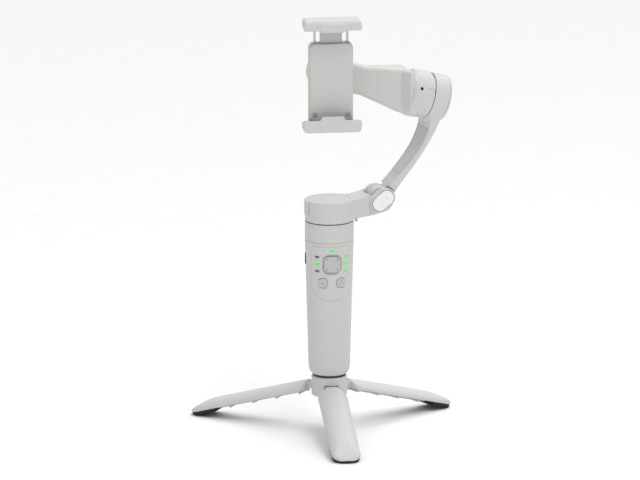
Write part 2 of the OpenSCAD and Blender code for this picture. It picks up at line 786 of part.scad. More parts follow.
module guide_rods() {
    color(steel) for (x = [-1, 1]) translate([x * rod_x, slot_back + 3.2, high_z + pad_t - 42]) cylinder(r = 0.9, h = 46);
}

// A closed helix spring stands as a thin tube round each rod
module jaw_springs() {
    color(steel) for (x = [-1, 1]) translate([x * rod_x, slot_back + 3.2, high_z + pad_t - 44]) ring(1.5, 1, 33);
}

module upper_jaw() {
    color(light_shell) difference() {
        union() {
            translate([0, 0, high_z + pad_t]) jaw_block();
            translate([-jaw_w / 2, slot_front - lip_t, high_z + pad_t - 1]) cube([jaw_w, lip_t, 2]);
            translate([-tab_w / 2, slot_front - lip_t, high_z - 1]) cube([tab_w, lip_t, 4]);
            tongue_slab(high_z + pad_t - 46, high_z + pad_t + 3, 0);
        }
        for (x = [-1, 1]) translate([x * rod_x, slot_back + 3.2, high_z + pad_t - 1]) cylinder(r = 0.95, h = 5);
    }
}

module upper_jaw_pad() {
    color(dark_rubber) translate([-jaw_w / 2 + 1.5, slot_front, high_z]) cube([jaw_w - 3, slot_d - 0.2, pad_t]);
}

tripod_hub();
tripod_stud();
hub_washer();
leg_pins();
leg(0);  // leg_1
leg(1);  // leg_2
leg(2);  // leg_3
foot_pad(0);  // foot_pad_1
foot_pad(1);  // foot_pad_2
foot_pad(2);  // foot_pad_3
grip_front_shell();
grip_rear_shell();
base_plug();
thread_insert();
chassis();
battery_cell();
main_board();
panel_board();
control_panel();
lit_leds();
dark_leds();
joystick_base();
joystick_yoke();
joystick_cap();
push_button(-key_x);  // mode_button
push_button(key_x);  // power_button
usb_port();
grip_screws();
pan_collar();
pan_stator();
pan_bearings();
pan_bell();
lower_arm();
pan_cap_cover();
pan_stop_pin();
hinge_pin();
hinge_spring();
hinge_button();
upper_arm();
upper_arm_cover();
tilt_end_cap();
tilt_stator();
tilt_bearings();
tilt_bell();
tilt_bracket();
bracket_screw();
roll_stator();
roll_bearings();
roll_back_cover();
roll_bell();
clamp_body();
clamp_front_plate();
lower_jaw_pad();
guide_rods();
jaw_springs();
upper_jaw();
upper_jaw_pad();
clamp_screws();
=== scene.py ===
"""Visual model of a three-axis phone gimbal on a folding table tripod.

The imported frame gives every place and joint. Each sub-assembly is a class that builds its
pieces in millimetres and hands them over in metres, riding on the frame's bodies.
"""
from __future__ import annotations

import json
import logging
import math
import sys
from dataclasses import dataclass
from enum import Enum
from typing import Any, Callable, Iterable, Sequence

import bmesh
import bpy
import numpy as np
import openvdb
from mathutils import Matrix, Vector
from mathutils.geometry import delaunay_2d_cdt

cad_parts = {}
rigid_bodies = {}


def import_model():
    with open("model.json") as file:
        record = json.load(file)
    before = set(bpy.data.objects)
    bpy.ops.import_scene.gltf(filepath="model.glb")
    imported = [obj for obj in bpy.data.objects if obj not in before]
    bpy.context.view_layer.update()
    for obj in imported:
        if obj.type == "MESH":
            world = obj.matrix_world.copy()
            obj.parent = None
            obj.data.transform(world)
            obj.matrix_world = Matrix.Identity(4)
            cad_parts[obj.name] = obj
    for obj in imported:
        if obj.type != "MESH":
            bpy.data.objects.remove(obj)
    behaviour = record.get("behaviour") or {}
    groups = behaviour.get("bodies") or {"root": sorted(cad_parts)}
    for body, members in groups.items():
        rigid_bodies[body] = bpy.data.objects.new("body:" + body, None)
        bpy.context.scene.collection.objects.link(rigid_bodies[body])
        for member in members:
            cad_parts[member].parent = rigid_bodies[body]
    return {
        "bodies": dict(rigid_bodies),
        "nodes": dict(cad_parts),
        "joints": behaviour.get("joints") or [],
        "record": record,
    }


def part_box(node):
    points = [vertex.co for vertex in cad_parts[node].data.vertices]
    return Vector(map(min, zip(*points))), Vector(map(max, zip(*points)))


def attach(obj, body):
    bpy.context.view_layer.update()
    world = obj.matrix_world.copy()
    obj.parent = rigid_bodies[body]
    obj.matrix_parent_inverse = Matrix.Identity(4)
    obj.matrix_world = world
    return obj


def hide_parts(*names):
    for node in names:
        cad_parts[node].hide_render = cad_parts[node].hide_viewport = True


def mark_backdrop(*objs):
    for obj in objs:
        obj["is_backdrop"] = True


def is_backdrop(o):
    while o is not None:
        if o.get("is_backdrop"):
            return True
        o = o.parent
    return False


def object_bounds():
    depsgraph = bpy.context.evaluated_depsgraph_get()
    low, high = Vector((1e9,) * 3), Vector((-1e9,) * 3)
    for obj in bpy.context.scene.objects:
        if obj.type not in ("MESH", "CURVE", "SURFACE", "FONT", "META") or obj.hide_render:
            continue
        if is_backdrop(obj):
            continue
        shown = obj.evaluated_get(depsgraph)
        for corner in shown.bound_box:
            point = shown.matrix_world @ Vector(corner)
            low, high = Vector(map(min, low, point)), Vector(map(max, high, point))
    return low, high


LOG = logging.getLogger("gimbal")
MM = 0.001
Point2 = tuple[float, float]
Array = np.ndarray
Socket = bpy.types.NodeSocket


# ---------------------------------------------------------------- implicit solids


@dataclass(frozen=True)
class Solid:
    """A solid given by its signed distance in millimetres, negative inside."""

    dist: Callable[[Array, Array, Array], Array]

    def __call__(self, x: Array, y: Array, z: Array) -> Array:
        """Signed distance at the points."""
        return self.dist(x, y, z)

    def join(self, other: Solid, blend: float = 0.0) -> Solid:
        """Both solids as one.

        Args:
            other: The solid that is added.
            blend: Size of the fillet where they meet.

        Returns:
            The union.
        """
        return Solid(lambda x, y, z: soft_min(self(x, y, z), other(x, y, z), blend))

    def cut(self, tool: Solid, blend: float = 0.0) -> Solid:
        """What the tool leaves of the solid.

        Args:
            tool: The solid that is taken away.
            blend: Size of the rounding along the cut.

        Returns:
            The difference.
        """
        return Solid(lambda x, y, z: -soft_min(-self(x, y, z), tool(x, y, z), blend))

    def common(self, other: Solid, blend: float = 0.0) -> Solid:
        """What the two solids share.

        Args:
            other: The other solid.
            blend: Size of the rounding along the new edges.

        Returns:
            The intersection.
        """
        return Solid(lambda x, y, z: -soft_min(-self(x, y, z), -other(x, y, z), blend))

    def grown(self, by: float) -> Solid:
        """The solid with its surface moved outwards by a distance."""
        return Solid(lambda x, y, z: self(x, y, z) - by)

    def placed(self, place: Matrix) -> Solid:
        """The solid moved and turned.

        Args:
            place: Rigid transform from the solid's own frame.

        Returns:
            The solid in the new frame.
        """
        inverse = np.array(place.inverted())

        def dist(x: Array, y: Array, z: Array) -> Array:
            """Distance found in the solid's own frame."""
            rows = [r[0] * x + r[1] * y + r[2] * z + r[3] for r in inverse[:3]]
            return self(*rows)

        return Solid(dist)


def soft_min(a: Array, b: Array, blend: float) -> Array:
    """Smaller of two distances, with a fillet of the given size."""
    if blend <= 0:
        return np.minimum(a, b)
    mix = np.maximum(blend - np.abs(a - b), 0) / blend
    return np.minimum(a, b) - mix * mix * blend / 4


def rim(flat: Array, across: Array, edge: float) -> Array:
    """Distance of an extruded shape with a rounded rim.

    Args:
        flat: Distance to the outline in its plane.
        across: Distance to the slab between the two faces.
        edge: Radius of the rim.

    Returns:
        The signed distance.
    """
    a, b = flat + edge, across + edge
    outside = np.sqrt(np.maximum(a, 0) ** 2 + np.maximum(b, 0) ** 2)
    return outside + np.minimum(np.maximum(a, b), 0) - edge


def block(low: Sequence[float], high: Sequence[float], edge: float) -> Solid:
    """A box between two corners with rounded edges."""
    mid = [(a + b) / 2 for a, b in zip(low, high)]
    half = [(b - a) / 2 - edge for a, b in zip(low, high)]

    def dist(x: Array, y: Array, z: Array) -> Array:
        """Rounded box distance."""
        q = [np.abs(c - m) - h for c, m, h in zip((x, y, z), mid, half)]
        outside = np.sqrt(sum(np.maximum(c, 0) ** 2 for c in q))
        return outside + np.minimum(np.maximum(np.maximum(q[0], q[1]), q[2]), 0) - edge

    return Solid(dist)


def drum(radius: float, low: float, high: float, edge: float) -> Solid:
    """A cylinder about Z with rounded rims."""
    mid, half = (low + high) / 2, (high - low) / 2
    return Solid(lambda x, y, z: rim(np.sqrt(x * x + y * y) - radius, np.abs(z - mid) - half, edge))


def drum_y(x0: float, z0: float, radius: float, low: float, high: float, edge: float) -> Solid:
    """A cylinder along Y through (x0, z0) with rounded rims."""
    mid, half = (low + high) / 2, (high - low) / 2
    return Solid(lambda x, y, z: rim(np.hypot(x - x0, z - z0) - radius, np.abs(y - mid) - half, edge))


def outline_distance(u: Array, v: Array, outline: Sequence[Point2]) -> Array:
    """Signed distance to a closed outline.

    Args:
        u: First coordinate of the points.
        v: Second coordinate.
        outline: Corners of the outline, in order.

    Returns:
        Distance, negative inside.
    """
    shape = np.broadcast(u, v).shape
    best = np.full(shape, 1e9)
    inside = np.zeros(shape, bool)
    for (ax, ay), (bx, by) in zip(outline, list(outline[1:]) + [outline[0]]):
        ex, ey = bx - ax, by - ay
        wx, wy = u - ax, v - ay
        t = np.clip((wx * ex + wy * ey) / (ex * ex + ey * ey + 1e-12), 0, 1)
        best = np.minimum(best, (wx - ex * t) ** 2 + (wy - ey * t) ** 2)
        crosses = (ay > v) != (by > v)
        inside ^= crosses & (u < ex * (v - ay) / (ey if abs(ey) > 1e-12 else 1e-12) + ax)
    return np.where(inside, -1.0, 1.0) * np.sqrt(best)


def slab_y(outline: Sequence[Point2], low: float, high: float, edge: float) -> Solid:
    """An outline in X and Z, extruded along Y, with rounded rims."""
    mid, half = (low + high) / 2, (high - low) / 2
    return Solid(lambda x, y, z: rim(outline_distance(x, z, outline), np.abs(y - mid) - half, edge))


def slab_z(outline: Sequence[Point2], low: float, high: float, edge: float) -> Solid:
    """An outline in X and Y, extruded along Z, with rounded rims."""
    mid, half = (low + high) / 2, (high - low) / 2
    return Solid(lambda x, y, z: rim(outline_distance(x, y, outline), np.abs(z - mid) - half, edge))


def arc(x: float, y: float, radius: float, start: float, end: float, steps: int = 8) -> list[Point2]:
    """Points on an arc, angles in degrees."""
    turns = [math.radians(start + (end - start) * i / steps) for i in range(steps + 1)]
    return [(x + radius * math.cos(t), y + radius * math.sin(t)) for t in turns]


def rounded(width: float, height: float, radius: float, x: float = 0.0, y: float = 0.0) -> list[Point2]:
    """A rectangle with round corners about (x, y), counter-clockwise."""
    u, v = width / 2 - radius, height / 2 - radius
    corners = ((u, v, 0), (-u, v, 90), (-u, -v, 180), (u, -v, 270))
    return [p for a, b, s in corners for p in arc(x + a, y + b, radius, s, s + 90)]


def bezier(points: Sequence[Point2], steps: int) -> list[Point2]:
    """Points along a cubic curve, from its four control points."""
    found = []
    for i in range(steps + 1):
        t = i / steps
        weights = ((1 - t) ** 3, 3 * t * (1 - t) ** 2, 3 * t * t * (1 - t), t**3)
        found.append(tuple(sum(w * p[k] for w, p in zip(weights, points)) for k in (0, 1)))
    return found


# ---------------------------------------------------------------- meshes


def mesh_object(name: str, points: Array, faces: Iterable[Sequence[int]], place: Matrix) -> bpy.types.Object:
    """A smooth-shaded object from points in millimetres.

    Args:
        name: Name of the piece.
        points: Vertices in the piece's own frame.
        faces: Vertex numbers of each face.
        place: Transform to the row frame, in millimetres.

    Returns:
        The object, at the origin, its place in its mesh.
    """
    mesh = bpy.data.meshes.new(name)
    mesh.from_pydata([tuple(p) for p in points], [], [tuple(int(i) for i in f) for f in faces])
    mesh.transform(Matrix.Scale(MM, 4) @ place)
    mesh.validate()
    mesh.shade_smooth()
    obj = bpy.data.objects.new(name, mesh)
    bpy.context.scene.collection.objects.link(obj)
    return obj


def carve(
    name: str, solid: Solid, low: Sequence[float], high: Sequence[float], voxel: float, place: Matrix
) -> bpy.types.Object:
    """Turns an implicit solid into a mesh whose points lie on its surface.

    Args:
        name: Name of the piece.
        solid: The solid.
        low: Lowest corner of the space it fills.
        high: Highest corner.
        voxel: Size of the mesh's cells.
        place: Transform to the row frame.

    Returns:
        The new object.
    """
    cell = voxel * 1.0
    start = np.array(low, float) - 2.5 * cell
    counts = [int(math.ceil((h - s) / cell)) + 3 for s, h in zip(start, high)]
    axes = [start[i] + cell * np.arange(counts[i]) for i in range(3)]
    values = solid(axes[0][:, None, None], axes[1][None, :, None], axes[2][None, None, :])
    values = np.clip(np.broadcast_to(values, counts) / cell, -3, 3).astype(np.float32)
    grid = openvdb.FloatGrid(background=3.0)
    grid.copyFromArray(np.ascontiguousarray(values))
    points, quads = grid.convertToQuads(isovalue=0.0)
    points = points.astype(float) * cell + start
    step = 0.02
    for _ in range(4):
        x, y, z = points.T
        here = solid(x, y, z)
        slope = np.stack([solid(x + step, y, z), solid(x, y + step, z), solid(x, y, z + step)], -1)
        slope = (slope - here[:, None]) / step
        move = here[:, None] * slope / np.maximum((slope**2).sum(-1, keepdims=True), 0.25)
        length = np.linalg.norm(move, axis=1, keepdims=True)
        points = points - move * np.minimum(1.0, 0.7 * cell / np.maximum(length, 1e-9))
    a, b, c, d = (points[quads[:, i]] for i in range(4))
    volume = (a * np.cross(b, c)).sum() + (a * np.cross(c, d)).sum()
    if volume < 0:
        quads = quads[:, ::-1]
    return mesh_object(name, points, quads, place)


def revolve(name: str, profile: Sequence[Point2], place: Matrix, steps: int = 128) -> bpy.types.Object:
    """A closed surface of revolution about Z.

    Args:
        name: Name of the piece.
        profile: (radius, height) points of the closed outline, counter-clockwise.
        place: Transform to the row frame.
        steps: Divisions round the axis.

    Returns:
        The new object.
    """
    tool = bmesh.new()
    rings = []
    for radius, height in profile:
        if radius < 1e-6:
            rings.append([tool.verts.new((0, 0, height))] * steps)
        else:
            turns = [2 * math.pi * i / steps for i in range(steps)]
            rings.append([tool.verts.new((radius * math.cos(t), radius * math.sin(t), height)) for t in turns])
    for ring, after in zip(rings, rings[1:] + rings[:1]):
        for i in range(steps):
            j = (i + 1) % steps
            corners = list(dict.fromkeys([ring[i], ring[j], after[j], after[i]]))
            if len(corners) > 2:
                tool.faces.new(corners)
    bmesh.ops.recalc_face_normals(tool, faces=tool.faces)
    mesh = bpy.data.meshes.new(name)
    tool.to_mesh(mesh)
    tool.free()
    mesh.transform(Matrix.Scale(MM, 4) @ place)
    mesh.shade_smooth()
    obj = bpy.data.objects.new(name, mesh)
    bpy.context.scene.collection.objects.link(obj)
    return obj


def soft_profile(corners: Sequence[tuple[float, float, float]], steps: int = 5) -> list[Point2]:
    """Rounds the corners of a closed outline.

    Args:
        corners: (x, y, radius) of each corner.
        steps: Points on each rounded corner, less one.

    Returns:
        The outline's points.
    """
    found: list[Point2] = []
    count = len(corners)
    for i, (x, y, radius) in enumerate(corners):
        before = Vector(corners[i - 1][:2]) - Vector((x, y))
        after = Vector(corners[(i + 1) % count][:2]) - Vector((x, y))
        if radius <= 0 or before.length < 1e-9 or after.length < 1e-9:
            found.append((x, y))
            continue
        half = before.angle(after) / 2
        reach = min(radius / math.tan(half), before.length * 0.49, after.length * 0.49)
        start = Vector((x, y)) + before.normalized() * reach
        end = Vector((x, y)) + after.normalized() * reach
        for k in range(steps + 1):
            t = k / steps
            spot = start * (1 - t) ** 2 + Vector((x, y)) * 2 * t * (1 - t) + end * t * t
            found.append((spot.x, spot.y))
    return found


def apply_modifiers(obj: bpy.types.Object) -> bpy.types.Object:
    """Makes the object's modifiers part of its mesh."""
    graph = bpy.context.evaluated_depsgraph_get()
    graph.update()
    mesh = bpy.data.meshes.new_from_object(obj.evaluated_get(graph))
    obj.modifiers.clear()
    obj.data = mesh
    return obj


def soften(obj: bpy.types.Object, width: float, segments: int = 3, angle: float = 35.0) -> bpy.types.Object:
    """Rounds an object's sharp edges.

    Args:
        obj: The object.
        width: Width of the rounding in millimetres.
        segments: Faces across it.
        angle: Smallest angle in degrees that counts as sharp.

    Returns:
        The same object.
    """
    bevel = obj.modifiers.new("round", "BEVEL")
    bevel.width = width * MM
    bevel.segments = segments
    bevel.limit_method = "ANGLE"
    bevel.angle_limit = math.radians(angle)
    bevel.harden_normals = False
    return apply_modifiers(obj)


# ---------------------------------------------------------------- repeated pieces


class Layout(Enum):
    """How a repeated shape is laid out."""

    ROW = "row"
    RING = "ring"


@dataclass(frozen=True)
class Repeat:
    """Copies of one small shape, placed by geometry nodes and made a plain mesh.

    Attributes:
        layout: A straight row or a ring about the local Z axis.
        count: Number of copies.
        step: Offset from one copy to the next in a row, in millimetres.
        radius: Radius of a ring.
    """

    layout: Layout
    count: int
    step: tuple[float, float, float] = (0.0, 0.0, 0.0)
    radius: float = 0.0

    def build(
        self, name: str, shape: bpy.types.Object, place: Matrix, paint: bpy.types.Material
    ) -> bpy.types.Object:
        """Makes the copies.

        Args:
            name: Name of the piece.
            shape: The shape at the origin, removed afterwards.
            place: Transform of the row or ring to the row frame, in millimetres.
            paint: Material of the copies.

        Returns:
            One object with all the copies.
        """
        tree = bpy.data.node_groups.new(name, "GeometryNodeTree")
        tree.interface.new_socket("Geometry", in_out="OUTPUT", socket_type="NodeSocketGeometry")
        sizes = {"Count": ("NodeSocketInt", self.count), "Step": ("NodeSocketVector", [s * MM for s in self.step])}
        sizes["Radius"] = ("NodeSocketFloat", self.radius * MM)
        for title, (kind, _) in sizes.items():
            tree.interface.new_socket(title, in_out="INPUT", socket_type=kind)
        given = tree.nodes.new("NodeGroupInput").outputs
        line = tree.nodes.new("GeometryNodeMeshLine")
        tree.links.new(given["Count"], line.inputs["Count"])
        tree.links.new(given["Step"], line.inputs["Offset"])
        source = tree.nodes.new("GeometryNodeObjectInfo")
        source.inputs["Object"].default_value = shape
        copies = tree.nodes.new("GeometryNodeInstanceOnPoints")
        tree.links.new(source.outputs["Geometry"], copies.inputs["Instance"])
        if self.layout is Layout.RING:
            self._ring(tree, given, line, copies)
        else:
            tree.links.new(line.outputs["Mesh"], copies.inputs["Points"])
        solid = tree.nodes.new("GeometryNodeRealizeInstances")
        tree.links.new(copies.outputs["Instances"], solid.inputs[0])
        dress = tree.nodes.new("GeometryNodeSetMaterial")
        dress.inputs["Material"].default_value = paint
        tree.links.new(solid.outputs[0], dress.inputs["Geometry"])
        tree.links.new(dress.outputs["Geometry"], tree.nodes.new("NodeGroupOutput").inputs[0])
        obj = bpy.data.objects.new(name, bpy.data.meshes.new(name))
        bpy.context.scene.collection.objects.link(obj)
        modifier = obj.modifiers.new("repeat", "NODES")
        modifier.node_group = tree
        for item in tree.interface.items_tree:
            if item.in_out == "INPUT":
                modifier[item.identifier] = sizes[item.name][1]
        apply_modifiers(obj)
        obj.data.transform(Matrix.Scale(MM, 4) @ place @ Matrix.Scale(1 / MM, 4))
        bpy.data.objects.remove(shape)
        bpy.data.node_groups.remove(tree)
        return obj

    def _ring(
        self, tree: bpy.types.NodeTree, given: Any, line: bpy.types.Node, copies: bpy.types.Node
    ) -> None:
        """Bends the row of points into a ring and turns each copy outwards."""
        circle = tree.nodes.new("GeometryNodeMeshCircle")
        tree.links.new(given["Count"], circle.inputs["Vertices"])
        tree.links.new(given["Radius"], circle.inputs["Radius"])
        index = tree.nodes.new("GeometryNodeInputIndex")
        part = tree.nodes.new("ShaderNodeMath")
        part.operation = "DIVIDE"
        tree.links.new(index.outputs[0], part.inputs[0])
        tree.links.new(given["Count"], part.inputs[1])
        turn = tree.nodes.new("ShaderNodeMath")
        turn.operation = "MULTIPLY"
        turn.inputs[1].default_value = 2 * math.pi
        tree.links.new(part.outputs[0], turn.inputs[0])
        spin = tree.nodes.new("ShaderNodeCombineXYZ")
        tree.links.new(turn.outputs[0], spin.inputs["Z"])
        tree.links.new(spin.outputs[0], copies.inputs["Rotation"])
        tree.links.new(circle.outputs["Mesh"], copies.inputs["Points"])
        tree.nodes.remove(line)


@dataclass(frozen=True)
class Coil:
    """A round-wire spring, made by geometry nodes.

    Attributes:
        radius: Radius of the coil's centreline.
        wire: Radius of the wire.
        length: Length of the coil.
        turns: Number of turns.
    """

    radius: float
    wire: float
    length: float
    turns: float

    def build(self, name: str, place: Matrix, paint: bpy.types.Material) -> bpy.types.Object:
        """Makes the spring along local +Z from the origin.

        Args:
            name: Name of the piece.
            place: Transform to the row frame, in millimetres.
            paint: Material of the wire.

        Returns:
            The spring as a mesh object.
        """
        tree = bpy.data.node_groups.new(name, "GeometryNodeTree")
        tree.interface.new_socket("Geometry", in_out="OUTPUT", socket_type="NodeSocketGeometry")
        sizes = {"Radius": self.radius * MM, "Wire": self.wire * MM, "Length": self.length * MM, "Turns": self.turns}
        for title in sizes:
            tree.interface.new_socket(title, in_out="INPUT", socket_type="NodeSocketFloat")
        given = tree.nodes.new("NodeGroupInput").outputs
        spiral = tree.nodes.new("GeometryNodeCurveSpiral")
        spiral.inputs["Resolution"].default_value = 24
        tree.links.new(given["Turns"], spiral.inputs["Rotations"])
        tree.links.new(given["Radius"], spiral.inputs["Start Radius"])
        tree.links.new(given["Radius"], spiral.inputs["End Radius"])
        tree.links.new(given["Length"], spiral.inputs["Height"])
        section = tree.nodes.new("GeometryNodeCurvePrimitiveCircle")
        section.inputs["Resolution"].default_value = 10
        tree.links.new(given["Wire"], section.inputs["Radius"])
        tube = tree.nodes.new("GeometryNodeCurveToMesh")
        tube.inputs["Fill Caps"].default_value = True
        tree.links.new(spiral.outputs["Curve"], tube.inputs["Curve"])
        tree.links.new(section.outputs["Curve"], tube.inputs["Profile Curve"])
        solid = tree.nodes.new("GeometryNodeRealizeInstances")
        tree.links.new(tube.outputs["Mesh"], solid.inputs[0])
        dress = tree.nodes.new("GeometryNodeSetMaterial")
        dress.inputs["Material"].default_value = paint
        tree.links.new(solid.outputs[0], dress.inputs["Geometry"])
        tree.links.new(dress.outputs["Geometry"], tree.nodes.new("NodeGroupOutput").inputs[0])
        obj = bpy.data.objects.new(name, bpy.data.meshes.new(name))
        bpy.context.scene.collection.objects.link(obj)
        modifier = obj.modifiers.new("coil", "NODES")
        modifier.node_group = tree
        for item in tree.interface.items_tree:
            if item.in_out == "INPUT":
                modifier[item.identifier] = sizes[item.name]
        apply_modifiers(obj)
        obj.data.shade_smooth()
        obj.data.transform(Matrix.Scale(MM, 4) @ place @ Matrix.Scale(1 / MM, 4))
        bpy.data.node_groups.remove(tree)
        return obj


# ---------------------------------------------------------------- finishes


class Value:
    """A shader value. Python's operators on it add the Math nodes."""

    def __init__(self, graph: Graph, socket: Socket) -> None:
        """Wraps an output socket of a graph's node."""
        self.graph = graph
        self.socket = socket

    def _math(self, operation: str, first: Any, second: Any) -> Value:
        """Adds one Math node."""
        node = self.graph.node("ShaderNodeMath", {"operation": operation}, {0: first, 1: second})
        return Value(self.graph, node.outputs[0])

    def __add__(self, other: Any) -> Value:
        """Sum."""
        return self._math("ADD", self, other)

    def __radd__(self, other: Any) -> Value:
        """Sum, the number first."""
        return self._math("ADD", other, self)

    def __sub__(self, other: Any) -> Value:
        """Difference."""
        return self._math("SUBTRACT", self, other)

    def __rsub__(self, other: Any) -> Value:
        """Difference, the number first."""
        return self._math("SUBTRACT", other, self)

    def __mul__(self, other: Any) -> Value:
        """Product."""
        return self._math("MULTIPLY", self, other)

    def __rmul__(self, other: Any) -> Value:
        """Product, the number first."""
        return self._math("MULTIPLY", other, self)


class Graph:
    """A material's node graph round one principled shader."""

    def __init__(self, name: str) -> None:
        """Starts an empty material.

        Args:
            name: Name of the material.
        """
        self.material = bpy.data.materials.new(name)
        self.material.use_nodes = True
        self.tree = self.material.node_tree
        self.shader = self.tree.nodes["Principled BSDF"]
        self.coords = self.node("ShaderNodeTexCoord", {}, {}).outputs["Object"]

    def node(self, kind: str, settings: dict[str, Any], inputs: dict[Any, Any]) -> bpy.types.Node:
        """Adds a node.

        Args:
            kind: The node's type.
            settings: Its own settings; "stops" holds a colour ramp's (place, grey) pairs.
            inputs: Values or links of its sockets.

        Returns:
            The node.
        """
        node = self.tree.nodes.new(kind)
        for key, setting in settings.items():
            if key == "stops":
                for item, (spot, grey) in zip(node.color_ramp.elements, setting):
                    item.position = spot
                    item.color = (grey, grey, grey, 1)
            else:
                setattr(node, key, setting)
        for key, given in inputs.items():
            self.feed(node.inputs[key], given)
        return node

    def feed(self, socket: Socket, given: Any) -> None:
        """Links a value or a socket to a socket, or sets a constant there."""
        if isinstance(given, Value):
            self.tree.links.new(given.socket, socket)
        elif isinstance(given, bpy.types.NodeSocket):
            self.tree.links.new(given, socket)
        else:
            socket.default_value = given

    def noise(
        self, scale: float, detail: float = 2.0, stretch: tuple[float, float, float] = (1, 1, 1)
    ) -> Value:
        """Noise on the object's own coordinates.

        Args:
            scale: Number of features in a metre.
            detail: Octaves.
            stretch: Scale along each axis.

        Returns:
            The noise, from 0 to 1.
        """
        spread = self.node("ShaderNodeMapping", {}, {"Vector": self.coords, "Scale": stretch})
        made = self.node("ShaderNodeTexNoise", {}, {"Vector": spread.outputs[0], "Scale": scale, "Detail": detail})
        return Value(self, made.outputs[0])

    def tint(self, mask: Value, low: Sequence[float], high: Sequence[float]) -> Socket:
        """Mixes two colours by a mask."""
        mixed = self.node("ShaderNodeMix", {"data_type": "RGBA"}, {0: mask, 6: (*low, 1), 7: (*high, 1)})
        return mixed.outputs[2]

    def bump(self, height: Value, depth: float, strength: float = 1.0) -> None:
        """Gives the shader a bump from a height, depth in millimetres."""
        made = self.node("ShaderNodeBump", {}, {"Height": height, "Distance": depth * MM, "Strength": strength})
        self.feed(self.shader.inputs["Normal"], made.outputs[0])


def shade(colour: Sequence[float], by: float) -> tuple[float, float, float]:
    """A colour made lighter or darker by a factor."""
    return tuple(min(1.0, c * by) for c in colour)


@dataclass(frozen=True)
class MouldedPlastic:
    """Plastic from a spark-eroded mould: fine even grain, faint mottling, hand-worn sheen.

    Attributes:
        name: Name of the finish.
        colour: Base colour.
        roughness: Middle roughness.
        grain: Depth of the grain in millimetres.
        coat: Weight of a clear coat.
    """

    name: str
    colour: tuple[float, float, float]
    roughness: float = 0.5
    grain: float = 0.03
    coat: float = 0.0

    def build(self) -> bpy.types.Material:
        """Makes the material."""
        graph = Graph(self.name)
        fine = graph.noise(2600, 3)
        cloud = graph.noise(55, 2)
        speck = graph.noise(900, 1)
        mask = cloud * 0.7 + speck * 0.3
        base = graph.tint(mask, shade(self.colour, 0.965), shade(self.colour, 1.03))
        graph.feed(graph.shader.inputs["Base Color"], base)
        graph.feed(graph.shader.inputs["Roughness"], self.roughness - 0.05 + cloud * 0.1)
        graph.shader.inputs["Specular IOR Level"].default_value = 0.45
        graph.shader.inputs["Coat Weight"].default_value = self.coat
        graph.shader.inputs["Coat Roughness"].default_value = 0.12
        graph.bump(fine, self.grain, 0.6)
        return graph.material


@dataclass(frozen=True)
class SoftRubber:
    """Matt rubber with a coarse grain."""

    name: str
    colour: tuple[float, float, float]
    roughness: float = 0.82

    def build(self) -> bpy.types.Material:
        """Makes the material."""
        graph = Graph(self.name)
        grain = graph.noise(1800, 4)
        dust = graph.noise(120, 3)
        base = graph.tint(dust, shade(self.colour, 0.8), shade(self.colour, 1.25))
        graph.feed(graph.shader.inputs["Base Color"], base)
        graph.feed(graph.shader.inputs["Roughness"], self.roughness - 0.08 + dust * 0.16)
        graph.shader.inputs["Specular IOR Level"].default_value = 0.35
        graph.bump(grain, 0.05, 0.8)
        return graph.material


@dataclass(frozen=True)
class TurnedMetal:
    """Machined metal with fine tool marks along one axis."""

    name: str
    colour: tuple[float, float, float]
    roughness: float = 0.3

    def build(self) -> bpy.types.Material:
        """Makes the material."""
        graph = Graph(self.name)
        marks = graph.noise(900, 3, (1, 1, 9))
        stain = graph.noise(140, 3)
        base = graph.tint(stain, shade(self.colour, 0.86), shade(self.colour, 1.1))
        graph.feed(graph.shader.inputs["Base Color"], base)
        graph.feed(graph.shader.inputs["Roughness"], self.roughness - 0.08 + marks * 0.2)
        graph.shader.inputs["Metallic"].default_value = 1.0
        graph.bump(marks, 0.015, 0.5)
        return graph.material


@dataclass(frozen=True)
class Lens:
    """A small moulded lens over an indicator, lit or dark.

    Attributes:
        name: Name of the finish.
        colour: Colour of the lens.
        glow: Strength of its light.
    """

    name: str
    colour: tuple[float, float, float]
    glow: float

    def build(self) -> bpy.types.Material:
        """Makes the material."""
        graph = Graph(self.name)
        cloud = graph.noise(700, 2)
        body = graph.tint(cloud, shade(self.colour, 0.85), shade(self.colour, 1.15))
        graph.feed(graph.shader.inputs["Base Color"], body)
        graph.feed(graph.shader.inputs["Roughness"], 0.2 + cloud * 0.1)
        if self.glow:
            graph.feed(graph.shader.inputs["Emission Color"], body)
            graph.shader.inputs["Emission Strength"].default_value = self.glow
        graph.bump(cloud, 0.01, 0.3)
        return graph.material


@dataclass(frozen=True)
class PrintedBoard:
    """Circuit board or windings: lacquer over a fine regular pattern."""

    name: str
    colour: tuple[float, float, float]
    pitch: float
    metallic: float = 0.0

    def build(self) -> bpy.types.Material:
        """Makes the material."""
        graph = Graph(self.name)
        bands = graph.node(
            "ShaderNodeTexWave",
            {"wave_type": "BANDS", "bands_direction": "Z"},
            {"Vector": graph.coords, "Scale": 1 / (self.pitch * MM), "Distortion": 0.4},
        )
        mask = Value(graph, bands.outputs["Fac"])
        base = graph.tint(mask, shade(self.colour, 0.7), shade(self.colour, 1.2))
        graph.feed(graph.shader.inputs["Base Color"], base)
        graph.feed(graph.shader.inputs["Roughness"], 0.3 + mask * 0.15)
        graph.shader.inputs["Metallic"].default_value = self.metallic
        graph.bump(mask, 0.05, 0.4)
        return graph.material


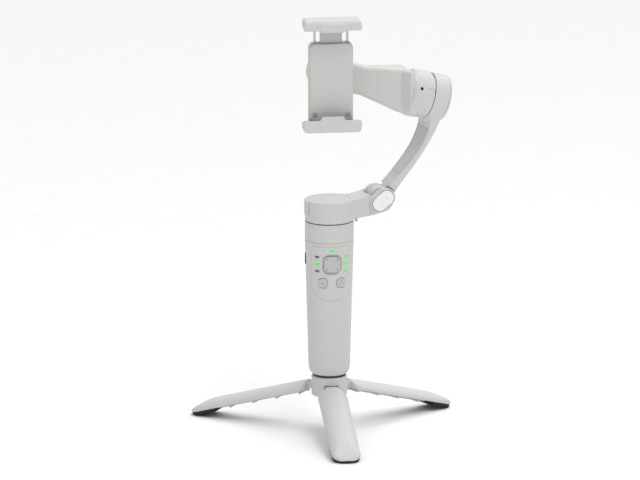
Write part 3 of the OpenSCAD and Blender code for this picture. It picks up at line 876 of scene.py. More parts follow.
class Slot(Enum):
    """The record's material slots, each with its finish."""

    SHELL = MouldedPlastic("shell", (0.60, 0.60, 0.585), 0.5)
    COVER = MouldedPlastic("cover", (0.57, 0.57, 0.555), 0.52)
    BUTTON = MouldedPlastic("button", (0.86, 0.86, 0.85), 0.28, 0.004, 0.4)
    KEYS = MouldedPlastic("keys", (0.52, 0.52, 0.515), 0.42, 0.015)
    PAD = SoftRubber("pad", (0.06, 0.06, 0.06))
    FOOT = SoftRubber("foot", (0.022, 0.022, 0.022))
    STEEL = TurnedMetal("steel", (0.55, 0.55, 0.55))
    BRASS = TurnedMetal("brass", (0.60, 0.42, 0.16))
    INNER = MouldedPlastic("inner", (0.02, 0.02, 0.021), 0.55)
    BOARD = PrintedBoard("board", (0.02, 0.12, 0.05), 2.5)
    CELL = MouldedPlastic("cell", (0.03, 0.10, 0.32), 0.3, 0.005, 0.3)
    WINDING = PrintedBoard("winding", (0.45, 0.18, 0.05), 0.3, 0.8)
    LED_LIT = Lens("led_lit", (0.02, 0.72, 0.07), 0.5)
    LED_DARK = Lens("led_dark", (0.10, 0.13, 0.16), 0.0)


class Paints:
    """The materials, one for each slot, made once."""

    def __init__(self) -> None:
        """Builds every finish."""
        self.by_slot = {slot.value.name: slot.value.build() for slot in Slot}

    def __getitem__(self, slot: Slot) -> bpy.types.Material:
        """The material of a slot."""
        return self.by_slot[slot.value.name]


# ---------------------------------------------------------------- the workshop


class Shop:
    """What every sub-assembly shares: the frame, its joints, the finishes and the hand-over of pieces."""

    def __init__(self, frame: dict[str, Any]) -> None:
        """Reads the arm's frame from the joints.
        """
        self.nodes = frame["nodes"]
        self.joints = {joint["name"]: joint for joint in frame["joints"]}
        self.slots = {part["node"]: part["material_slot"] for part in frame["record"]["subparts"]}
        self.paints = Paints()
        self.covered: set[str] = set()
        across = self.joints["arm_fold"]["axis"]
        self.arm = Matrix.Rotation(math.atan2(-across[0], across[1]), 4, "Z")
        hinge = self.arm.inverted() @ (Vector(self.joints["arm_fold"]["pos_m"]) / MM)
        self.hinge_x, self.hinge_z = hinge.x, hinge.z
        self.axes_z = self.joints["roll"]["pos_m"][2] / MM
        self.dip = math.asin(abs(self.joints["tilt"]["axis"][2]))
        seam = Vector((79.0, 0, self.axes_z - 79.0 * math.tan(self.dip)))
        self.tilt_in_arm = Matrix.Translation(seam) @ Matrix.Rotation(math.pi / 2 + self.dip, 4, "Y")

    @staticmethod
    def facing(spot: Vector, along: Vector) -> Matrix:
        """A frame at a point with its Z along a direction and its X kept level or low.

        Args:
            spot: Origin of the frame.
            along: Direction of its Z.

        Returns:
            Transform to the row frame.
        """
        z = along.normalized()
        x = Vector((0, 0, -1)) - z * Vector((0, 0, -1)).dot(z)
        x.normalize()
        y = z.cross(x)
        return Matrix.Translation(spot) @ Matrix((x, y, z)).transposed().to_4x4()

    def deliver(self, obj: bpy.types.Object, body: str, slot: Slot, *nodes: str) -> bpy.types.Object:
        """Dresses a finished piece and puts it on its body.

        Args:
            obj: The piece.
            body: The body it rides on.
            slot: Its material slot.
            nodes: The frame's nodes that it stands for.

        Returns:
            The piece.
        """
        if not obj.data.materials:
            obj.data.materials.append(self.paints[slot])
        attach(obj, body)
        if nodes:
            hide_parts(*nodes)
            self.covered.update(nodes)
        LOG.info("%s rides on %s: %d faces", obj.name, body, len(obj.data.polygons))
        return obj

    def dress_nodes(self) -> None:
        """Gives every node that still shows the finish of its slot."""
        for name, obj in self.nodes.items():
            if name in self.covered:
                continue
            paint = self.paints.by_slot[self.slots[name]]
            obj.data.materials.clear()
            obj.data.materials.append(paint)
            LOG.info("%s keeps the frame's mesh in %s", name, self.slots[name])


# ---------------------------------------------------------------- tripod


@dataclass
class Tripod:
    """Hub, washer, three folding legs with ribs, and their rubber feet.

    Attributes:
        shop: The shared workshop.
        wall: Wall of the hollow legs.
        round_r: Radius of the three closed legs.
        edge_w: Height of a leg's lower edges over its pin.
        start: Distance from the pin where the hollow leg begins.
        ribs: Number of ribs under each leg.
        rib_start: Distance from the pin to the first rib.
        rib_step: Distance between two ribs.
        rib_drop: Height by which the ribs stand out of the hollow.
        root_run: Length of a leg's round root.
        tip_run: Length over which a leg's ridge comes down to its tip.
        pad_start: Distance from the pin where the foot pad begins.
        pad_depth: Thickness of the foot pad.
        slope_deg: How far the open legs drop, in degrees.
    """

    shop: Shop
    wall: float = 2.2
    round_r: float = 14.0
    edge_w: float = -1.2
    start: float = 7.2
    ribs: int = 4
    rib_start: float = 14.15
    rib_step: float = 20.0
    rib_drop: float = 2.0
    root_run: float = 9.0
    tip_run: float = 30.0
    pad_start: float = 88.0
    pad_depth: float = 3.0
    slope_deg: float = 15.9
    directions: tuple[float, ...] = (-90.0, 30.0, 150.0)

    def build(self) -> None:
        """Makes every piece."""
        low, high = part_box("tripod_hub")
        self.hub_r = high.x / MM
        self.hub_low, self.hub_high = low.z / MM, high.z / MM
        pin = Vector(self.shop.joints["leg_1_fold"]["pos_m"]) / MM
        self.pin_r, self.pin_z = math.hypot(pin.x, pin.y), pin.z
        self.over = self.round_r - self.pin_r
        self.length = 111.0
        self.slope = math.radians(self.slope_deg)
        self.hub()
        for i, turn in enumerate(self.directions):
            self.leg(i + 1, turn)

    def at_pin(self, turn: float) -> Matrix:
        """Frame of a leg's pin, X pointing outwards."""
        out = Matrix.Rotation(math.radians(turn), 4, "Z")
        return out @ Matrix.Translation((self.pin_r, 0, self.pin_z))

    def hub(self) -> None:
        """The hub with its three slots, and the washer above it."""
        body = drum(self.hub_r, self.hub_low, self.hub_high, 1.1)
        for turn in self.directions:
            slot = block((-4.6, -5, -30), (30, 5, 0.6), 0.2).join(drum_y(0, 0, 3.7, -5, 5, 0.2))
            ramp = block((0, -5, -4), (30, 5, 3.85), 0.2)
            slot = slot.join(ramp.placed(Matrix.Rotation(self.slope, 4, "Y")))
            body = body.cut(slot.placed(self.at_pin(turn)), 0.5)
        body = body.cut(drum(6, self.hub_high - 3, self.hub_high + 5, 0.2))
        reach = self.hub_r + 0.5
        hub = carve("hub", body, (-reach, -reach, self.hub_low), (reach, reach, self.hub_high), 0.4, Matrix())
        self.shop.deliver(hub, "base", Slot.SHELL, "tripod_hub")
        low, high = (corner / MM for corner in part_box("hub_washer"))
        ring = [(5.8, low.z, 0.2), (high.x, low.z, 0.3), (high.x + 0.25, (low.z + high.z) / 2, 0.4)]
        ring += [(high.x, high.z, 0.3), (5.8, high.z, 0.2)]
        self.shop.deliver(revolve("hub_ring", soft_profile(ring), Matrix()), "base", Slot.PAD, "hub_washer")

    def leg_outline(self, inset: float) -> list[Point2]:
        """A leg seen from above, drawn in by an inset."""
        centre, run, wide = self.start + self.root_run, self.root_run - inset, 12 - inset
        turns = np.linspace(0.03, math.pi / 2, 14)
        side = [(centre - run * math.cos(t), -wide * math.sin(t)) for t in turns]
        tip = arc(self.length - 11.5, 0, 11.5 - inset, -90, 90, 24)
        return side + tip + [(x, -y) for x, y in reversed(side)]

    def leg(self, number: int, turn: float) -> None:
        """One leg with its ribs and foot."""
        place = self.at_pin(turn) @ Matrix.Rotation(self.slope, 4, "Y")
        centre, wall = self.over - self.round_r, self.wall

        def tube(inset: float) -> Solid:
            """The leg's outside, or its hollow."""
            barrel = Solid(lambda x, y, z: np.hypot(y, z - centre) - self.round_r + inset)
            floor = Solid(lambda x, y, z: self.edge_w - z - (4 * inset))
            plan = self.leg_outline(inset)
            side = Solid(lambda x, y, z: outline_distance(x, y, plan))
            low, turn_x = self.edge_w - 2, self.length - self.tip_run
            long, high = self.tip_run - inset, self.over - low - inset

            def ridge(x: Array, y: Array, z: Array) -> Array:
                """Distance above the ridge, which comes down to the tip as a quarter ellipse."""
                reach = np.hypot(np.maximum(x - turn_x, 0) / long, (z - low) / high)
                return (reach - 1) * high

            shape = barrel.common(side, 1.6 if inset == 0 else 0.5)
            return shape.common(Solid(ridge), 0.8).common(floor, 0.9)

        body = tube(0).cut(tube(wall), 0.5)
        knuckle = drum_y(0, 0, 3.4, -4.4, 4.4, 0.4)
        knuckle = knuckle.join(block((0, -4.4, self.edge_w), (self.start + 4, 4.4, 3.3), 0.4), 1.0)
        body = body.join(knuckle, 1.0).cut(drum_y(0, 0, 1.55, -9, 9, 0.1))
        leg = carve(
            f"leg_shell_{number}", body, (-4, -12.4, self.edge_w), (self.length, 12.4, self.over), 0.5, place
        )
        name = f"leg_{number}"
        self.shop.deliver(leg, name, Slot.SHELL, name)
        foot_w = self.edge_w - self.rib_drop
        rib_plan = [(-9.5, foot_w), (9.5, foot_w)] + arc(0, centre, self.round_r - 1.2, 34, 146, 16)
        rib = mesh_object("rib", *self.plate(rib_plan, 1.5), Matrix())
        soften(rib, 0.25, 2)
        row = Repeat(Layout.ROW, self.ribs, (self.rib_step, 0, 0))
        spot = place @ Matrix.Translation((self.rib_start, 0, 0))
        ribs = row.build(f"leg_ribs_{number}", rib, spot, self.shop.paints[Slot.SHELL])
        self.shop.deliver(ribs, name, Slot.SHELL)
        spine = block((self.start + 2, -0.75, foot_w), (self.pad_start - 0.3, 0.75, self.over - 1.2), 0.25)
        low, high = (self.start + 2, -0.75, foot_w), (self.pad_start - 0.3, 0.75, self.over - 1.2)
        self.shop.deliver(carve(f"leg_spine_{number}", spine, low, high, 0.4, place), name, Slot.SHELL)
        self.foot(number, turn, place)

    @staticmethod
    def plate(
        outline: Sequence[Point2], thick: float
    ) -> tuple[list[tuple[float, float, float]], list[list[int]]]:
        """Points and faces of a flat plate across the leg."""
        count = len(outline)
        points = [(s * thick / 2, y, z) for s in (-1, 1) for y, z in outline]
        faces = [list(range(count))[::-1], list(range(count, 2 * count))]
        faces += [[i, (i + 1) % count, count + (i + 1) % count, count + i] for i in range(count)]
        return points, faces

    def foot(self, number: int, turn: float, place: Matrix) -> None:
        """The rubber pad under a leg's tip, with tread grooves across its sole."""
        at_pin = self.at_pin(turn)
        plan = self.leg_outline(0.8)
        to_leg = np.array(place.inverted() @ at_pin)
        begin, under = self.pad_start, self.edge_w - self.pad_depth

        def dist(x: Array, y: Array, z: Array) -> Array:
            """Pad under the leg's edge, cut flat where it meets the table."""
            u = to_leg[0][0] * x + to_leg[0][1] * y + to_leg[0][2] * z + to_leg[0][3]
            w = to_leg[2][0] * x + to_leg[2][1] * y + to_leg[2][2] * z + to_leg[2][3]
            side = outline_distance(u, y + 0 * u, plan)
            ends = np.maximum(begin - u, under - w)
            wedge = np.maximum(np.maximum(w - self.edge_w - 0.6, -self.pin_z - z), ends)
            shape = -soft_min(-side, -wedge, 1.0)
            tread = 0.45 - 0.35 * np.abs(np.sin(x * math.pi / 3.2)) - (z + self.pin_z)
            return np.maximum(shape, tread * 0.6)

        pad = Solid(dist)
        foot = carve(
            f"foot_{number}", pad, (84, -12, -self.pin_z), (self.length, 12, -self.pin_z + 9), 0.45, at_pin
        )
        self.shop.deliver(foot, f"leg_{number}", Slot.FOOT, f"foot_pad_{number}")


# ---------------------------------------------------------------- grip


@dataclass
class Grip:
    """The two shells, the inlaid control panel with its controls and lights, and the collar.

    Attributes:
        shop: The shared workshop.
        wall: Wall of the shells.
        reference_r: Radius on which widths along the surface are measured.
        panel_half: Half the panel's width along the surface.
        panel_turn: Height where the panel's round lower end begins.
        panel_drop: Height of that round end.
        panel_top: Height of the panel's upper edge.
    """

    shop: Shop
    wall: float = 2.0
    reference_r: float = 18.0
    panel_half: float = 15.0
    panel_turn: float = 114.5
    panel_drop: float = 11.0
    panel_top: float = 146.2

    def build(self) -> None:
        """Makes every piece."""
        low, high = (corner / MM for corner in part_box("grip_front_shell"))
        self.low, self.high, self.top_r = low.z, high.z, high.x
        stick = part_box("joystick_cap")
        self.stick_z = (stick[0].z + stick[1].z) / 2 / MM
        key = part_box("power_button")
        self.key_x, self.key_z = ((key[0][i] + key[1][i]) / 2 / MM for i in (0, 2))
        self.profile = self.side_profile()
        steps = np.hypot(*np.diff(np.array(self.profile), axis=0).T)
        self.run = np.concatenate([[0], np.cumsum(steps)])
        self.shells()
        self.panel()
        self.joystick()
        self.keys()
        self.lights()
        self.port()
        self.screws()
        self.collar()

    def side_profile(self) -> list[Point2]:
        """(radius, height) from the edge of the base opening up to the crease."""
        start = [(9.2, self.low), (11.4, self.low)]
        turn = [
            (12.2 + 3.8 * math.sin(t), self.low + 8 * (1 - math.cos(t)) ** 1.15)
            for t in np.linspace(0.12, math.pi / 2, 12)
        ]
        rise = [
            (16 + (self.top_r - 16) * k / 24, self.low + 8 + (self.high - self.low - 8) * k / 24)
            for k in range(1, 25)
        ]
        return start + turn + rise

    def surface(self, u: float, v: float, depth: float = 0.0) -> Vector:
        """A point on the grip.

        Args:
            u: Distance round the grip from its front middle line.
            v: Distance along the side profile.
            depth: Distance below the surface.

        Returns:
            The point, in millimetres.
        """
        radius = float(np.interp(v, self.run, [p[0] for p in self.profile])) - depth
        height = float(np.interp(v, self.run, [p[1] for p in self.profile]))
        turn = u / self.reference_r
        return Vector((radius * math.sin(turn), -radius * math.cos(turn), height))

    def run_at(self, height: float) -> float:
        """Distance along the profile at a height."""
        return float(np.interp(height, [p[1] for p in self.profile], self.run))

    def skin(
        self, name: str, outline: Sequence[Point2], holes: Sequence[Sequence[Point2]], wall: float
    ) -> bpy.types.Object:
        """A curved plate of the grip's surface.

        Args:
            name: Name of the piece.
            outline: Its edge, as distances round and along the grip.
            holes: Edges of its openings.
            wall: Its thickness.

        Returns:
            The new object.
        """
        pitch = 1.1
        loops = [self.divide(outline, pitch)] + [self.divide(hole, 0.5) for hole in holes]
        points: list[Vector] = []
        edges: list[tuple[int, int]] = []
        for loop in loops:
            first = len(points)
            points += [Vector(p) for p in loop]
            edges += [(first + i, first + (i + 1) % len(loop)) for i in range(len(loop))]
        us, vs = [p[0] for p in outline], [p[1] for p in outline]
        spots = [
            (u, v)
            for row, v in enumerate(np.arange(min(vs) + pitch / 2, max(vs), pitch * 0.87))
            for u in np.arange(min(us) + pitch * (0.5 + 0.5 * (row % 2)), max(us), pitch)
        ]
        grid = np.array(spots)
        near = outline_distance(grid[:, 0], grid[:, 1], loops[0])
        keep = near < -0.45 * pitch
        for loop in loops[1:]:
            keep &= outline_distance(grid[:, 0], grid[:, 1], loop) > 0.45 * pitch
        points += [Vector(p) for p in grid[keep]]
        flat, _, faces, _, _, _ = delaunay_2d_cdt(points, edges, [], 1, 1e-5)
        middle = np.array([np.mean([flat[i] for i in face], axis=0) for face in faces])
        inside = outline_distance(middle[:, 0], middle[:, 1], loops[0]) < 0
        for loop in loops[1:]:
            inside &= outline_distance(middle[:, 0], middle[:, 1], loop) > 0
        faces = [face for face, good in zip(faces, inside) if good]
        obj = mesh_object(name, [self.surface(p[0], p[1]) for p in flat], faces, Matrix())
        tool = bmesh.new()
        tool.from_mesh(obj.data)
        bmesh.ops.delete(tool, geom=[v for v in tool.verts if not v.link_faces], context="VERTS")
        bmesh.ops.recalc_face_normals(tool, faces=tool.faces)
        sample = max(tool.faces, key=lambda f: f.calc_center_median().z)
        centre = sample.calc_center_median()
        if sample.normal.dot(Vector((centre.x, centre.y, 0))) < 0:
            bmesh.ops.reverse_faces(tool, faces=tool.faces)
        tool.to_mesh(obj.data)
        tool.free()
        thick = obj.modifiers.new("wall", "SOLIDIFY")
        thick.thickness = wall * MM
        thick.offset = -1
        apply_modifiers(obj)
        soften(obj, 0.22, 2, 50)
        obj.data.shade_smooth()
        return obj

    @staticmethod
    def divide(loop: Sequence[Point2], pitch: float) -> list[Point2]:
        """Splits a closed outline's long edges."""
        found: list[Point2] = []
        for (ax, ay), (bx, by) in zip(loop, list(loop[1:]) + [loop[0]]):
            parts = max(1, round(math.hypot(bx - ax, by - ay) / pitch))
            found += [(ax + (bx - ax) * k / parts, ay + (by - ay) * k / parts) for k in range(parts)]
        return found

    def unrolled(self, loop: Sequence[Point2]) -> list[Point2]:
        """An outline seen from the front, laid onto the unrolled surface."""
        levels, radii = [p[1] for p in self.profile], [p[0] for p in self.profile]
        found = []
        for x, z in self.divide(loop, 1.2):
            radius = float(np.interp(z, levels, radii))
            found.append((self.reference_r * math.asin(x / radius), self.run_at(z)))
        return found

    def panel_edge(self, grow: float) -> list[Point2]:
        """The panel's outline: straight sides, a round lower end, a square top."""
        half, top = self.panel_half + grow, self.panel_top + grow
        bend = [
            (half * math.cos(t), self.panel_turn + (self.panel_drop + grow) * math.sin(t))
            for t in np.linspace(-math.pi, 0, 41)
        ]
        corners = arc(half - 1.5, top - 1.5, 1.5, 0, 90) + arc(-half + 1.5, top - 1.5, 1.5, 90, 180)
        return self.unrolled(bend + corners)

    def port_edge(self, edge: float, inward: float) -> list[Point2]:
        """Half of the port's opening beside a shell's edge, from its foot up."""
        middle, half = self.run_at(134.0), 2.95
        lower = arc(0, -half, 1.75, -90, 0, 6)
        upper = arc(0, half, 1.75, 0, 90, 6)
        return [(edge + inward * x, middle + y) for x, y in lower + upper]

    def shells(self) -> None:
        """Front and rear shells with a fine parting line between them."""
        quarter, top, gap = self.reference_r * math.pi / 2, self.run[-1] - 0.1, 0.05
        edge = quarter - gap
        front = [(-edge, 0), (edge, 0), (edge, top), (-edge, top)] + self.port_edge(-edge, 1)[::-1]
        shell = self.skin("front_shell", front, [self.panel_edge(0.03)], self.wall)
        self.shop.deliver(shell, "base", Slot.SHELL, "grip_front_shell")
        far = 3 * quarter - gap
        rear = [(quarter + gap, 0), (far, 0)] + self.port_edge(far, -1) + [(far, top), (quarter + gap, top)]
        holes = [[(u + x, v + y) for x, y in arc(0, 0, 2.15, 0, 360, 20)[:-1]] for u, v in self.screw_spots()]
        shell = self.skin("rear_shell", rear, holes, self.wall)
        self.shop.deliver(shell, "base", Slot.SHELL, "grip_rear_shell")

    def screw_spots(self) -> list[Point2]:
        """Places of the rear screws on the unrolled surface."""
        half_turn = self.reference_r * math.pi
        return [(half_turn + side * 9.6, self.run_at(z)) for z in (70.0, 96.0, 139.0) for side in (-1, 1)]

    def screws(self) -> None:
        """Cross-head screws sunk in the rear shell."""
        for i, (u, v) in enumerate(self.screw_spots()):
            spot, under = self.surface(u, v, 0.7), self.surface(u, v, 3.0)
            place = Shop.facing(spot, spot - under)
            head = drum(2.0, -1.4, 0, 0.35)
            bar = block((-1.2, -0.28, -0.7), (1.2, 0.28, 1), 0.05)
            cross = bar.join(block((-0.28, -1.2, -0.7), (0.28, 1.2, 1), 0.05))
            made = carve(f"shell_screw_{i + 1}", head.cut(cross), (-2, -2, -1.4), (2, 2, 0), 0.16, place)
            self.shop.deliver(made, "base", Slot.STEEL, *(["grip_screws"] if i == 0 else []))

    def panel(self) -> None:
        """The inlaid panel with its openings."""
        edge = self.panel_edge(-0.03)
        stick = self.unrolled(rounded(15.0, 15.6, 4.9, 0, self.stick_z))
        keys = [rounded(7.9, 7.9, 3.0, s * self.key_u(), self.run_at(self.key_z)) for s in (-1, 1)]
        lights = [rounded(3.9, 1.55, 0.7, u, v) for u, v, _ in self.light_spots()]
        made = self.skin("panel_plate", edge, [stick, *keys, *lights], 1.6)
        self.shop.deliver(made, "base", Slot.SHELL, "control_panel")
        self.dish()

    def key_u(self) -> float:
        """Distance of a button from the middle line, along the surface."""
        return self.reference_r * math.asin(self.key_x / 17.7)

    def dish(self) -> None:
        """The concave ring that the joystick stands in."""
        middle = self.run_at(self.stick_z)
        steps = 14
        rings = []
        for k in range(steps + 1):
            t = k / steps
            size = 1 - 0.34 * t
            depth = 0.12 + 1.5 * math.sin(t * math.pi / 2) ** 1.3
            loop = rounded(16.1 * size, 15.5 * size, 5.0 * size, 0, middle)
            rings.append([self.surface(u, v, depth) for u, v in loop])
        rings.append([self.surface(u, v, 4.0) for u, v in rounded(16.1 * 0.66, 15.5 * 0.66, 3.3, 0, middle)])
        rings.append([self.surface(u, v, 4.0) for u, v in rounded(16.1, 15.5, 5.0, 0, middle)])
        count = len(rings[0])
        points = [p for ring in rings for p in ring]
        faces = []
        for k in range(len(rings)):
            after = (k + 1) % len(rings)
            for i in range(count):
                beside = (i + 1) % count
                here, there = k * count, after * count
                faces.append([here + i, here + beside, there + beside, there + i])
        obj = mesh_object("joystick_dish", points, faces, Matrix())
        self.right_way(obj)
        soften(obj, 0.15, 2, 50)
        self.shop.deliver(obj, "base", Slot.KEYS)

    @staticmethod
    def right_way(obj: bpy.types.Object) -> None:
        """Points a closed mesh's faces outwards."""
        tool = bmesh.new()
        tool.from_mesh(obj.data)
        bmesh.ops.recalc_face_normals(tool, faces=tool.faces)
        tool.to_mesh(obj.data)
        tool.free()
        obj.data.shade_smooth()

    def joystick(self) -> None:
        """The square thumb cap, hollowed on top, with four small ticks at its corners."""
        front = -self.surface(0, self.run_at(self.stick_z)).y
        cap = slab_y(rounded(12.3, 12.3, 3.8), -front - 0.9, -front + 3.2, 0.8)
        bowl = Solid(lambda x, y, z: np.sqrt(x * x + (y + front + 33.2) ** 2 + z * z) - 33)
        cap = cap.cut(bowl, 0.5)
        stem = drum_y(0, 0, 1.2, -front + 2.5, -12.2, 0.1)
        place = Matrix.Translation((0, 0, self.stick_z))
        made = carve("thumb_cap", cap.join(stem), (-6.3, -front - 1, -6.3), (6.3, -12, 6.3), 0.2, place)
        self.shop.deliver(made, "joystick", Slot.KEYS, "joystick_cap")
        tick = mesh_object("tick", *self.pill(1.5, 0.34, 0.2), Matrix())
        ring = Matrix.Translation((0, -front - 0.6, self.stick_z)) @ Matrix.Rotation(math.pi / 2, 4, "X")
        turned = ring @ Matrix.Rotation(math.pi / 4, 4, "Z")
        made = Repeat(Layout.RING, 4, radius=5.6).build("cap_ticks", tick, turned, self.shop.paints[Slot.PAD])
        self.shop.deliver(made, "joystick", Slot.PAD)

    @staticmethod
    def pill(
        length: float, width: float, height: float
    ) -> tuple[list[tuple[float, float, float]], list[list[int]]]:
        """Points and faces of a small bar with round ends, lying across X."""
        reach, radius = (length - width) / 2, width / 2
        loop = arc(0, reach, radius, 0, 180, 6) + arc(0, -reach, radius, 180, 360, 6)
        count = len(loop)
        points = [(x, y, z) for z in (-height, height) for x, y in loop]
        faces = [list(range(count))[::-1], list(range(count, 2 * count))]
        faces += [[i, (i + 1) % count, count + (i + 1) % count, count + i] for i in range(count)]
        return points, faces

    def keys(self) -> None:
        """The two buttons, with a bar on one and a ring on the other."""
        for side, node in ((-1, "mode_button"), (1, "power_button")):
            spot = self.surface(side * self.key_u(), self.run_at(self.key_z))
            under = self.surface(side * self.key_u(), self.run_at(self.key_z), 5)
            place = Shop.facing(spot, spot - under)
            cap = slab_z(rounded(7.35, 7.35, 2.75), -3.4, 0.3, 0.5)
            if side < 0:
                cap = cap.cut(block((-0.3, -1.3, -0.1), (0.3, 1.3, 2), 0.1), 0.1)
            else:
                ring = Solid(lambda x, y, z: np.hypot(np.hypot(x, y) - 1.5, z - 0.25) - 0.28)
                cap = cap.cut(ring, 0.1)
            made = carve(f"{node}_cap", cap, (-4, -4, -3.4), (4, 4, 0.3), 0.17, place)
            self.shop.deliver(made, node, Slot.KEYS, node)

    def light_spots(self) -> list[tuple[float, float, bool]]:
        """Place of each indicator on the unrolled surface, and whether it is lit."""
        pitch, reach = 5.6, self.reference_r * math.radians(38)
        middle = self.run_at(self.stick_z)
        spots = [(0.0, self.run_at(143.4), True)]
        for row in (-1, 0, 1):
            spots.append((-reach, middle + row * pitch, row == 0))
            spots.append((reach, middle + row * pitch, True))
        return spots

    def lights(self) -> None:
        """The indicator lenses."""
        groups: dict[bool, list[bpy.types.Object]] = {True: [], False: []}
        for u, v, lit in self.light_spots():
            spot, under = self.surface(u, v), self.surface(u, v, 3)
            place = Shop.facing(spot, spot - under)
            lens = slab_z(rounded(1.35, 3.6, 0.6), -2.2, 0.12, 0.25)
            groups[lit].append(carve("lens", lens, (-0.8, -2, -2.2), (0.8, 2, 0.2), 0.14, place))
        for lit, found in groups.items():
            slot = Slot.LED_LIT if lit else Slot.LED_DARK
            node = "lit_leds" if lit else "dark_leds"
            self.shop.deliver(merge(f"{node}_lenses", found), "base", slot, node)

    def port(self) -> None:
        """The charging port in the left side."""
        low, high = (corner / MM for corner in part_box("usb_port"))
        middle = (low.z + high.z) / 2
        outside, inside = rounded(3.3, 9.1, 1.6, 0, middle), rounded(2.4, 8.2, 1.15, 0, middle)
        tongue = rounded(0.7, 6.4, 0.3, 0, middle)

        def bar(outline: Sequence[Point2], start: float, end: float) -> Solid:
            """An outline in Y and Z, extruded along X."""
            middle_x, half = (start + end) / 2, (end - start) / 2
            return Solid(lambda x, y, z: rim(outline_distance(y, z, outline), np.abs(x - middle_x) - half, 0.12))

        body = bar(outside, low.x, high.x).cut(bar(inside, low.x - 2, high.x - 1.2))
        body = body.join(bar(tongue, low.x + 0.9, high.x))
        low_corner, high_corner = (low.x, -1.8, middle - 4.7), (high.x, 1.8, middle + 4.7)
        made = carve("charging_port", body, low_corner, high_corner, 0.16, Matrix())
        self.shop.deliver(made, "base", Slot.INNER, "usb_port")

    def collar(self) -> None:
        """The motor's collar between the grip and the pan cap."""
        low, high = (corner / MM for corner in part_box("pan_collar"))
        r = high.x
        ring = [(3, low.z + 0.05, 0), (r, low.z + 0.05, 0.4), (r, high.z, 0.35), (r - 2.2, high.z, 0.3)]
        ring += [(r - 2.2, low.z + 2, 0.3), (3, low.z + 2, 0.2)]
        made = revolve("motor_collar", soft_profile(ring), Matrix(), 160)
        self.shop.deliver(made, "base", Slot.SHELL, "pan_collar")


def merge(name: str, objects: Sequence[bpy.types.Object]) -> bpy.types.Object:
    """Joins objects that lie in the row frame into one."""
    tool = bmesh.new()
    for obj in objects:
        tool.from_mesh(obj.data)
        bpy.data.objects.remove(obj)
    mesh = bpy.data.meshes.new(name)
    tool.to_mesh(mesh)
    tool.free()
    mesh.shade_smooth()
    made = bpy.data.objects.new(name, mesh)
    bpy.context.scene.collection.objects.link(made)
    return made


# ---------------------------------------------------------------- arm


